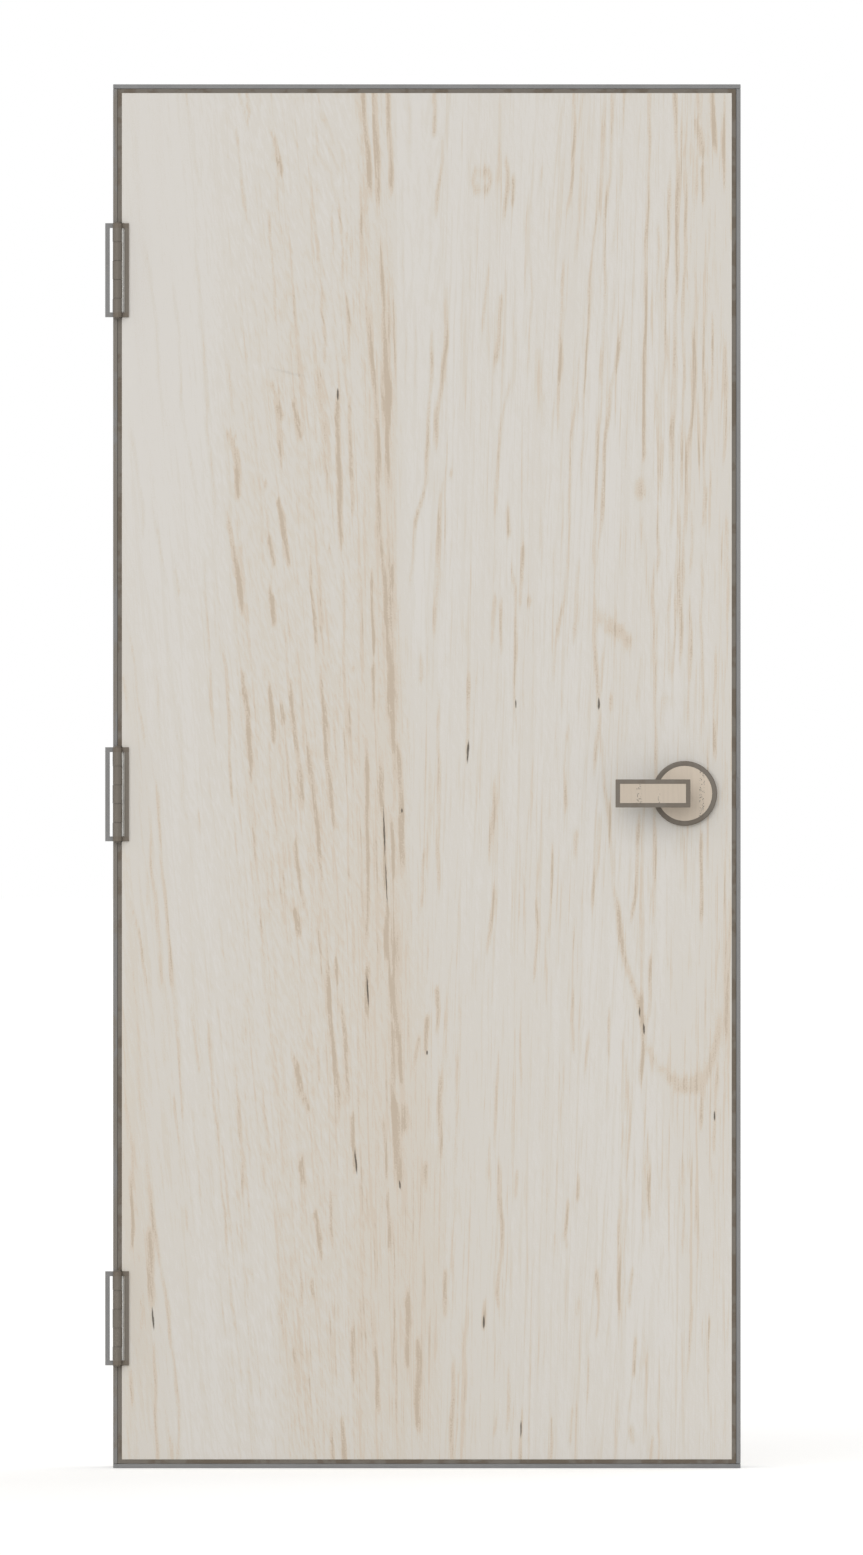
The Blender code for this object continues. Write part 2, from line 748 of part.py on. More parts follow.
def make_hinges():
    """Three hinges. Their frame plates and pins stay with the frame; their door plates turn."""
    frame_knuckles = range(0, KNUCKLES, 2)
    door_knuckles = range(1, KNUCKLES, 2)
    frame_plate = hinge_plate_mesh("hinge_frame_plate", -1, 0.0, WALL_FLANGE_REACH,
                                   WALL_FLANGE_BAR, frame_knuckles)
    door_plate = hinge_plate_mesh("hinge_door_plate", 1, LEAF_GAP, DOOR_FLANGE_REACH,
                                  DOOR_FLANGE_BAR, door_knuckles)
    pin = hinge_pin_mesh()
    turning = []
    for height_name, height in HINGE_HEIGHTS.items():
        at = HINGE_AXIS + Vector((0, 0, height))
        dress(place(frame_plate, f"{height_name}_hinge_frame_plate", at), BRONZE_GREY)
        dress(place(pin, f"{height_name}_hinge_pin", at), BRONZE_GREY)
        turning.append(dress(place(door_plate, f"{height_name}_hinge_door_plate", at), BRONZE_GREY))
    return turning


# Latch


def turn_to_latch_edge(solid):
    """Turn a solid that faces +X at the latch edge's middle so that it lies in the bevel."""
    solid.rotation_euler.z = LATCH_EDGE_BEVEL
    return solid


def latch_plate(name, allowance, collection=None):
    """The latch's face plate, or a tool for its mortise, at the middle of the bevelled edge."""
    outer = PROUD if allowance else 0.0
    half = Vector((
        (LATCH_PLATE_THICKNESS + allowance + outer) / 2,
        LATCH_PLATE_WIDTH / 2 + allowance,
        LATCH_PLATE_HEIGHT / 2 + allowance,
    ))
    plate = box(name, -half, half, LATCH_PLATE_CORNER, "x", collection)
    plate.data.transform(Matrix.Translation((outer - half.x, 0, 0)))
    plate.location = (latch_edge(LEAF_MIDDLE), LEAF_MIDDLE, LEVER_HEIGHT)
    return turn_to_latch_edge(plate)


def bolt_block(name, allowance, length, collection=None):
    """The bolt's block behind the face plate's outer face, or a tool for the way that it slides in."""
    half_width = BOLT_WIDTH / 2 + allowance
    half_height = BOLT_HEIGHT / 2 + allowance
    outer = PROUD if allowance else 0.0
    block = box(name, (-length, -half_width, -half_height), (outer, half_width, half_height),
                collection=collection)
    block.data.transform(Matrix.Translation(block.location))
    block.location = (latch_edge(LEAF_MIDDLE), LEAF_MIDDLE, LEVER_HEIGHT)
    return turn_to_latch_edge(block)


def make_latch():
    """Face plate, bolt and the round case behind them."""
    plate = latch_plate("latch_faceplate", 0.0)
    cut(plate, bolt_block("plate_slot", FIT, BOLT_LENGTH, CUTTERS))
    edge_middle = Vector((latch_edge(LEAF_MIDDLE), LEAF_MIDDLE, LEVER_HEIGHT))
    outwards = Vector((math.cos(LATCH_EDGE_BEVEL), math.sin(LATCH_EDGE_BEVEL), 0))
    for end in (-1, 1):
        at = edge_middle + Vector((0, 0, end * LATCH_SCREW_SPACING / 2))
        cut(plate, countersunk(
            f"plate_screw_{end}", at, outwards, LATCH_PLATE_THICKNESS, LATCH_SCREW_RADIUS,
            LATCH_SCREW_HEAD_RADIUS,
        ))
    bolt = bolt_block("latch_bolt", 0.0, BOLT_LENGTH)
    form = bmesh.new()
    form.from_mesh(bolt.data)
    nose = [
        e for e in form.edges if all(v.co.x > -1e-6 and v.co.y > BOLT_WIDTH / 2 - 1e-6 for v in e.verts)
    ]
    bmesh.ops.bevel(form, geom=nose, offset=BOLT_NOSE, segments=1, affect="EDGES")
    form.to_mesh(bolt.data)
    form.free()
    plate_back = latch_edge(LEAF_BACK) - LATCH_PLATE_THICKNESS - FIT
    chassis_side = LEVER_AXIS.x + CROSS_BORE_RADIUS - CHASSIS_CLEARANCE + FIT
    case = cylinder(
        "latch_case", LATCH_CASE_RADIUS,
        (chassis_side, LEVER_AXIS.y, LEVER_AXIS.z), (plate_back, LEVER_AXIS.y, LEVER_AXIS.z),
    )
    cut(case, bolt_block("case_slot", FIT, BOLT_LENGTH + FIT, CUTTERS))
    for piece in (plate, bolt, case):
        dress(piece, BRIGHT_STEEL)
    return [plate, bolt, case]


# Roses and lock chassis


def face_out(solid, side):
    """Turn a solid built along +Z so that it stands out of the leaf: side -1 in front, 1 behind."""
    solid.rotation_euler.x = -side * math.pi / 2
    solid.location = LEVER_AXIS + Vector((0, side * LEAF_THICKNESS / 2, 0))
    return solid


def rose_ring(name, side):
    """The dark outer ring, with a ledge that carries the cover."""
    inner = ROSE_RADIUS - ROSE_RING_WIDTH
    ledge = ROSE_HEIGHT - COVER_THICKNESS
    profile = [
        (inner, ROSE_HEIGHT),
        *rounded_corner(ROSE_RADIUS - ROSE_ROUNDING, ROSE_HEIGHT - ROSE_ROUNDING, ROSE_ROUNDING),
        (ROSE_RADIUS, FIT),
        (inner - ROSE_LEDGE, FIT),
        (inner - ROSE_LEDGE, ledge - FIT),
        (inner, ledge - FIT),
    ]
    return dress(face_out(turned(name, profile, ROSE_FACETS, closed=True), side), BRONZE_GREY)


def rose_cover(name, side):
    """The tan disc that the neck passes through, slightly domed."""
    outer = ROSE_RADIUS - ROSE_RING_WIDTH - FIT
    hole = NECK_RADIUS + NECK_CLEARANCE
    radii = [hole + (outer - hole) * step / DOME_STEPS for step in range(DOME_STEPS + 1)]
    profile = [(r, ROSE_HEIGHT + COVER_DOME * (1 - (r / outer) ** 2)) for r in radii]
    profile += [(outer, ROSE_HEIGHT - COVER_THICKNESS), (hole, ROSE_HEIGHT - COVER_THICKNESS)]
    return dress(face_out(turned(name, profile, ROSE_FACETS, closed=True), side), TAN_WOOD)


def make_chassis():
    """The round lock body that fills the cross bore, with a hole for the spindle."""
    reach = Vector((0, LEAF_THICKNESS / 2, 0))
    chassis = cylinder(
        "lock_chassis", CROSS_BORE_RADIUS - CHASSIS_CLEARANCE, LEVER_AXIS - reach, LEVER_AXIS + reach,
        facets=ROSE_FACETS,
    )
    spindle_hole = cylinder(
        "spindle_hole", SPINDLE_SIDE / math.sqrt(2) + SPINDLE_CLEARANCE,
        LEVER_AXIS - 2 * reach, LEVER_AXIS + 2 * reach, facets=HOLE_FACETS, collection=CUTTERS,
    )
    return dress(cut(chassis, spindle_hole), BRIGHT_STEEL)


# Levers, modelled about the lever's axis at the leaf's middle, for the front


def lever_mesh():
    """Neck and flat bar in one piece, with a pocket for the inlay and a socket for the spindle."""
    face = -LEAF_THICKNESS / 2
    bar_back = face - GRIP_STANDOFF
    bar_front = bar_back - GRIP_THICKNESS
    form = bmesh.new()
    middle = Vector(((GRIP_HEEL - GRIP_TIP) / 2, (bar_front + bar_back) / 2, 0))
    size = Vector((GRIP_TIP + GRIP_HEEL, GRIP_THICKNESS, GRIP_HEIGHT))
    bmesh.ops.create_cube(form, size=1.0, matrix=Matrix.Translation(middle) @ Matrix.Diagonal((*size, 1)))
    long_back_edges = [
        e
        for e in form.edges
        if all(abs(v.co.y - bar_back) < 1e-6 for v in e.verts)
        and abs(e.verts[0].co.x - e.verts[1].co.x) > 1e-6
    ]
    bmesh.ops.bevel(
        form, geom=long_back_edges, offset=GRIP_BACK_ROUNDING, segments=ARC_STEPS, profile=0.5,
        affect="EDGES",
    )
    mesh = bpy.data.meshes.new("lever")
    form.to_mesh(mesh)
    form.free()
    lever = soften(place(mesh, "lever", collection=CUTTERS), GRIP_ARRIS)
    join(lever, neck_tool(-face))
    pocket = inlay_box("inlay_pocket", 0.0, PROUD, CUTTERS)
    side = SPINDLE_SIDE / 2 + FIT
    socket = box(
        "spindle_socket", (-side, face - NECK_START - SOCKET_DEPTH, -side), (side, 0.0, side),
        collection=CUTTERS,
    )
    cut(lever, pocket, socket)
    return baked(lever, "lever")


def neck_tool(face):
    """The neck, turned: plain through the rose, a collar in front of it and a flare into the bar."""
    collar = face + ROSE_HEIGHT + COVER_DOME + COLLAR_STANDOFF
    bar = face + GRIP_STANDOFF
    arc = [math.pi / 2 * step / ARC_STEPS for step in range(ARC_STEPS + 1)]
    flare = [
        (
            COLLAR_RADIUS - (COLLAR_RADIUS - NECK_RADIUS) * math.sin(angle),
            bar - NECK_FLARE * (1 - math.cos(angle)),
        )
        for angle in arc
    ]
    profile = [
        (0.0, bar + GRIP_THICKNESS / 2),
        (COLLAR_RADIUS, bar + GRIP_THICKNESS / 2),
        *flare,
        (NECK_RADIUS, collar + COLLAR_HEIGHT),
        (COLLAR_RADIUS - COLLAR_EDGE, collar + COLLAR_HEIGHT),
        (COLLAR_RADIUS, collar + COLLAR_HEIGHT - COLLAR_EDGE),
        (COLLAR_RADIUS, collar + COLLAR_EDGE),
        (COLLAR_RADIUS - COLLAR_EDGE, collar),
        (NECK_RADIUS, collar),
        (NECK_RADIUS, face + NECK_START),
        (0.0, face + NECK_START),
    ]
    neck = turned("neck", profile, BARREL_FACETS, collection=CUTTERS)
    neck.rotation_euler.x = math.pi / 2
    return neck


def inlay_box(name, inset, proud, collection=None):
    """The inlay in the bar's face, or a tool for its pocket, in from the bar's edge by its border."""
    bar_front = -LEAF_THICKNESS / 2 - GRIP_STANDOFF - GRIP_THICKNESS
    border = INLAY_BORDER + inset
    half_height = GRIP_HEIGHT / 2 - border
    return box(
        name,
        (-GRIP_TIP + border, bar_front - proud, -half_height),
        (GRIP_HEEL - border, bar_front + INLAY_THICKNESS - inset, half_height),
        collection=collection,
    )


def inlay_mesh():
    """The tan inlay, which fills its pocket."""
    inlay = inlay_box("lever_inlay", FIT, 0.0)
    return baked(inlay, "lever_inlay")


def make_levers():
    """The spindle and the two levers on it, which turn together."""
    lever, inlay = lever_mesh(), inlay_mesh()
    turning = []
    for name, turn in (("front", 0.0), ("back", math.pi)):
        for mesh, label, material in ((lever, "lever", BRONZE_GREY), (inlay, "lever_inlay", TAN_WOOD)):
            piece = dress(place(mesh, f"{name}_{label}", LEVER_AXIS), material)
            piece.rotation_euler.x = turn
            turning.append(piece)
    end = LEAF_THICKNESS / 2 + NECK_START + SOCKET_DEPTH - FIT
    side = SPINDLE_SIDE / 2
    spindle = box("lever_spindle", (-side, -end, -side), (side, end, side))
    spindle.location = LEVER_AXIS
    turning.append(dress(spindle, BRIGHT_STEEL))
    return turning


def main():
    """Build the frame, the leaf that turns in it and the levers that turn on the leaf."""
    make_frame()
    make_stops()
    make_seals()
    make_strike()
    on_leaf = make_leaf() + make_hinges() + make_latch() + [make_chassis()]
    for name, side in (("front", -1), ("back", 1)):
        on_leaf += [rose_ring(f"{name}_rose_ring", side), rose_cover(f"{name}_rose_cover", side)]
    on_lever = make_levers()
    leaf_axis = empty_at("leaf_axis", HINGE_AXIS)
    lever_axis = empty_at("lever_axis", LEVER_AXIS)
    carry(leaf_axis, [*on_leaf, lever_axis])
    carry(lever_axis, on_lever)


main()
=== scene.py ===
"""Flush wooden door in a slim steel frame: its finishes, small fittings, studio and camera."""

import logging
import math
from dataclasses import dataclass
from enum import Enum
from typing import Callable, Iterable, Union

import bpy
import numpy as np
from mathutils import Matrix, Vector


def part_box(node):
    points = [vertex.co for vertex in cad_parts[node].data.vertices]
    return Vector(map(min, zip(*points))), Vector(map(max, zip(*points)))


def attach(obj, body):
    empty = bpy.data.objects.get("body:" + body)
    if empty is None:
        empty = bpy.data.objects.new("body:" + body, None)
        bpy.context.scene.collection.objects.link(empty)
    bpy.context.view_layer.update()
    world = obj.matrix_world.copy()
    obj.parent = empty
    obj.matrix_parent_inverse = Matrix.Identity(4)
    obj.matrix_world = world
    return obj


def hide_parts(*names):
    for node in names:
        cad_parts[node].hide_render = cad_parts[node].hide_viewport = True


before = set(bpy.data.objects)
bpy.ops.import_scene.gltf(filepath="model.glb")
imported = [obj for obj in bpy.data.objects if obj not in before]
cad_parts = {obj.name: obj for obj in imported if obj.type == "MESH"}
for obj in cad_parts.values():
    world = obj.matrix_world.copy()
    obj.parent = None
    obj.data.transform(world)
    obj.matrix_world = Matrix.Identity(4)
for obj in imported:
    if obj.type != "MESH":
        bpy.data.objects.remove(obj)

LOG = logging.getLogger("wooden_door")

Colour = tuple[float, float, float]
Number = Union[int, float, "Value"]
Point = tuple[float, float, float]
Socket = bpy.types.NodeSocket
HINGE_PLACES = ("bottom", "middle", "top")
# Lean of the leaf's latch edge
BEVEL = math.radians(3.0)
# How nearly a face's normal has to point along an axis to be taken
SQUARE_ON = 0.9


class Body(Enum):
    """The rigid bodies that a piece can ride on."""

    FRAME = "frame"
    LEAF = "leaf"
    LEVERS = "lever_set"


class Slot(Enum):
    """Names of the material slots that new pieces belong to, passed along but not applied."""

    VENEER = "pale_veneer"
    STEEL = "bright_steel"
    SEAL = "seal_rubber"


class Part(Enum):
    """What is selected in edit mode, with the mesh's own list of it."""

    FACE = "polygons"
    EDGE = "edges"


class Side(Enum):
    """A side of the leaf, with the sign of Y on that side."""

    FRONT = -1
    BACK = 1


def linear(red: int, green: int, blue: int) -> Colour:
    """Linear colour of a screen colour.

    Args:
        red: red, in steps of 255.
        green: green, in steps of 255.
        blue: blue, in steps of 255.

    Returns:
        The three linear values.
    """

    def channel(step: int) -> float:
        """One step as a linear value."""
        share = step / 255
        return share / 12.92 if share <= 0.04045 else ((share + 0.055) / 1.055) ** 2.4

    return channel(red), channel(green), channel(blue)


def shade(colour: Colour, share: float) -> Colour:
    """A colour times a share."""
    return tuple(part * share for part in colour)


class Tone(Enum):
    """The door's colours, palest wood first."""

    PALE = linear(215, 211, 205)
    CREAM = linear(212, 207, 199)
    SAND = linear(210, 203, 192)
    TAN = linear(208, 196, 181)
    DEEP_TAN = linear(193, 178, 160)
    CRACK = linear(96, 89, 80)
    STEEL_GREY = linear(130, 130, 130)
    STEEL_CLOUD = linear(126, 126, 126)
    STEEL_SPECK = linear(139, 139, 139)
    BROWN_GREY = linear(120, 114, 106)
    FITTING_GREY = linear(114, 107, 98)
    DARK_BROWN_GREY = linear(109, 100, 89)
    SPECK = linear(150, 143, 134)
    FITTING_TAN = linear(197, 184, 168)
    EDGE_WOOD = linear(203, 189, 170)
    CORE_WOOD = linear(176, 150, 118)
    BRIGHT_METAL = linear(196, 196, 194)
    SCREW_METAL = linear(150, 146, 140)
    RUBBER = linear(62, 60, 58)
    FLOOR = linear(232, 231, 229)


# Shader graphs


class Value:
    """A number that a shader works out, with Python's operators."""

    def __init__(self, graph: "Graph", socket: Socket) -> None:
        """Wrap one output socket of a graph."""
        self.graph = graph
        self.socket = socket

    def _math(self, operation: str, first: Number, second: Number = 0.0, clamp: bool = False) -> "Value":
        """A Math node of two numbers."""
        settings = {"operation": operation, "use_clamp": clamp}
        return self.graph.value("ShaderNodeMath", settings, {0: first, 1: second})

    def __add__(self, other: Number) -> "Value":
        """This value plus another."""
        return self._math("ADD", self, other)

    def __radd__(self, other: Number) -> "Value":
        """Another number plus this value."""
        return self._math("ADD", other, self)

    def __sub__(self, other: Number) -> "Value":
        """This value less another."""
        return self._math("SUBTRACT", self, other)

    def __rsub__(self, other: Number) -> "Value":
        """Another number less this value."""
        return self._math("SUBTRACT", other, self)

    def __mul__(self, other: Number) -> "Value":
        """This value times another."""
        return self._math("MULTIPLY", self, other)

    def __rmul__(self, other: Number) -> "Value":
        """Another number times this value."""
        return self._math("MULTIPLY", other, self)

    def __abs__(self) -> "Value":
        """This value without its sign."""
        return self._math("ABSOLUTE", self)

    def clamped(self) -> "Value":
        """This value held between 0 and 1."""
        return self._math("ADD", self, 0.0, clamp=True)

    def above(self, limit: Number) -> "Value":
        """1 where this value is over a limit, and 0 elsewhere."""
        return self._math("GREATER_THAN", self, limit)

    def larger(self, other: Number) -> "Value":
        """The larger of this value and another."""
        return self._math("MAXIMUM", self, other)

    def eased(self, low: float, high: float) -> "Value":
        """A smooth rise from 0 to 1 between two limits.

        Args:
            low: where the rise starts.
            high: where it ends.

        Returns:
            The eased value.
        """
        return self.graph.value(
            "ShaderNodeMapRange",
            {"interpolation_type": "SMOOTHSTEP"},
            {"Value": self, "From Min": low, "From Max": high},
        )


class Graph:
    """The nodes of a material or of the world, made one by one."""

    def __init__(self, owner: bpy.types.Material | bpy.types.World) -> None:
        """Start with the owner's first nodes.

        Args:
            owner: the material or world that gets the nodes.
        """
        owner.use_nodes = True
        self.owner = owner
        self.tree = owner.node_tree

    def node(
        self,
        kind: str,
        settings: dict[str, object] | None = None,
        inputs: dict[int | str, object] | None = None,
    ) -> bpy.types.Node:
        """Make any node.

        Args:
            kind: the node's type.
            settings: its properties, or the stops of its colour ramp.
            inputs: numbers, colours, sockets or Values by socket name or place.

        Returns:
            The new node.
        """
        made = self.tree.nodes.new(kind)
        for name, setting in (settings or {}).items():
            if name == "stops":
                self._set_stops(made.color_ramp, setting)
            else:
                setattr(made, name, setting)
        for place, given in (inputs or {}).items():
            self.feed(made.inputs[place], given)
        return made

    def feed(self, socket: Socket, given: object) -> None:
        """Link a socket or set its own value.

        Args:
            socket: the input socket.
            given: a number, colour, vector, socket or Value.
        """
        given = given.socket if isinstance(given, Value) else given
        if isinstance(given, Socket):
            self.tree.links.new(given, socket)
        elif socket.type == "RGBA":
            socket.default_value = (*given, 1.0)
        else:
            socket.default_value = given

    @staticmethod
    def _set_stops(ramp: bpy.types.ColorRamp, stops: list[tuple[float, Colour]]) -> None:
        """Give a colour ramp its stops.

        Args:
            ramp: the ramp.
            stops: positions and colours, in rising order.
        """
        while len(ramp.elements) < len(stops):
            ramp.elements.new(0.5)
        for element, (position, colour) in zip(ramp.elements, stops):
            element.position = position
            element.color = (*colour, 1.0)

    def value(
        self,
        kind: str,
        settings: dict[str, object] | None = None,
        inputs: dict[int | str, object] | None = None,
        output: int | str = 0,
    ) -> Value:
        """Make a node and take one of its outputs.

        Args:
            kind: the node's type.
            settings: its properties.
            inputs: what its sockets get.
            output: name or place of the output.

        Returns:
            The output as a Value.
        """
        return Value(self, self.node(kind, settings, inputs).outputs[output])

    def mixed(self, share: Number, first: object, second: object) -> Socket:
        """A colour between two colours."""
        return self.node("ShaderNodeMix", {"data_type": "RGBA"}, {0: share, 6: first, 7: second}).outputs[2]


class Surface(Graph):
    """A material's graph, which ends in a Principled shader."""

    def __init__(self, name: str) -> None:
        """Start a material and its coordinates.

        Args:
            name: the material's name.
        """
        super().__init__(bpy.data.materials.new(name))
        self.shader = self.tree.nodes["Principled BSDF"]
        self.coordinates = self.node("ShaderNodeTexCoord").outputs["Object"]

    def axes(self) -> tuple[Value, Value, Value]:
        """X, Y and Z of the piece's coordinates."""
        parts = self.node("ShaderNodeSeparateXYZ", None, {0: self.coordinates})
        return tuple(Value(self, output) for output in parts.outputs)

    def spread(
        self, scale: Point, place: Point = (0.0, 0.0, 0.0), lean: float = 0.0, start: Socket | None = None
    ) -> Socket:
        """Coordinates turned in the leaf's plane, scaled and moved.

        Args:
            scale: how many units of pattern one metre holds along X, Y and Z.
            place: what is added after the scale.
            lean: turn about Y in radians.
            start: the coordinates to begin with, or None for the piece's own.

        Returns:
            The vector socket.
        """
        vector = self.coordinates if start is None else start
        if lean:
            inputs = {"Vector": vector, "Angle": lean}
            vector = self.node("ShaderNodeVectorRotate", {"rotation_type": "Y_AXIS"}, inputs).outputs[0]
        inputs = {"Vector": vector, "Scale": scale, "Location": place}
        return self.node("ShaderNodeMapping", {"vector_type": "POINT"}, inputs).outputs[0]

    def vectors(self, operation: str, *inputs: object) -> bpy.types.Node:
        """A Vector Math node."""
        return self.node("ShaderNodeVectorMath", {"operation": operation}, dict(enumerate(inputs)))

    def noise(self, at: Socket, detail: float = 3.0, roughness: float = 0.5, wander: float = 0.0) -> Value:
        """Noise of scale 1 at a vector.

        Args:
            at: the vector.
            detail: how many finer layers it has.
            roughness: the strength of the finer layers.
            wander: how far the pattern strays.

        Returns:
            The noise, about 0.5.
        """
        return self.value(
            "ShaderNodeTexNoise",
            {"noise_dimensions": "3D"},
            {"Vector": at, "Scale": 1.0, "Detail": detail, "Roughness": roughness, "Distortion": wander},
        )

    def cells(self, scale: Point, randomness: float) -> Value:
        """Distance from the middle of the nearest cell.

        Args:
            scale: how many cells one metre holds along X, Y and Z.
            randomness: how far the cells stray from a grid.

        Returns:
            The distance, as a share of a cell.
        """
        inputs = {"Vector": self.spread(scale), "Scale": 1.0, "Randomness": randomness}
        return self.value("ShaderNodeTexVoronoi", {"feature": "F1"}, inputs, "Distance")

    def ramp(self, share: Value, stops: list[tuple[float, Colour]]) -> Socket:
        """A colour read from stops."""
        return self.node("ShaderNodeValToRGB", {"stops": stops}, {0: share}).outputs[0]

    def bump(self, height: Value, depth: float) -> Socket:
        """A normal that follows a height, where 1 is the depth in metres."""
        inputs = {"Height": height, "Distance": depth, "Strength": 1.0}
        return self.node("ShaderNodeBump", None, inputs).outputs[0]

    def finish(self, **sockets: object) -> bpy.types.Material:
        """Set the shader's sockets.

        Args:
            sockets: what each gets, by its name with _ for a space.

        Returns:
            The material.
        """
        for name, given in sockets.items():
            self.feed(self.shader.inputs[name.replace("_", " ")], given)
        return self.owner


# Finishes


@dataclass(frozen=True)
class Drawing:
    """Where drawing units lie on the leaf, in metres."""

    left: float = -0.4572
    left_unit: float = 116.5
    across: float = 0.0014725
    base: float = 0.00635
    base_unit: float = 1463.5
    up: float = 0.0014789
    height: float = 1555.0

    def x(self, unit: float) -> float:
        """X of a unit across."""
        return self.left + (unit - self.left_unit) * self.across

    def z(self, unit: float) -> float:
        """Height of a unit down."""
        return self.base + (self.base_unit - unit) * self.up


DRAWING = Drawing()


@dataclass(frozen=True)
class Crack:
    """A dark crack in the veneer, by its middle in drawing units."""

    across: float
    down: float
    length: float
    lean: float = 0.02
    width: float = 2.2
    depth: float = 1.0


CRACKS = (
    Crack(337.6, 395, 14, 0.0),
    Crack(468.2, 752, 26, -0.05, 2.6),
    Crack(384.2, 832, 56, 0.03, 1.8),
    Crack(386.4, 884, 50, 0.04, 1.3),
    Crack(367.6, 991, 36, 0.06, 2.0),
    Crack(355.8, 1162, 28, 0.1, 2.2),
    Crack(400.0, 1185, 10, 0.1, 2.4),
    Crack(152.2, 1318, 26, 0.08, 2.2),
    Crack(484.2, 1322, 16, 0.0, 2.6),
    Crack(521.4, 1429, 20, -0.02, 1.8),
    Crack(599.5, 704, 14, 0.0, 2.6),
    Crack(516.2, 704, 10, 0.0, 1.8),
    Crack(640.6, 1012, 12, 0.05, 1.8),
    Crack(644.8, 1029, 14, 0.05, 2.0),
    Crack(715.6, 1116, 12, 0.0, 2.0),
    Crack(402.0, 811, 5, 0.0, 2.0),
    Crack(427.2, 1053, 5, 0.0, 2.2),
    Crack(287.5, 373, 54, 4.1, 4.0, 0.05),
)


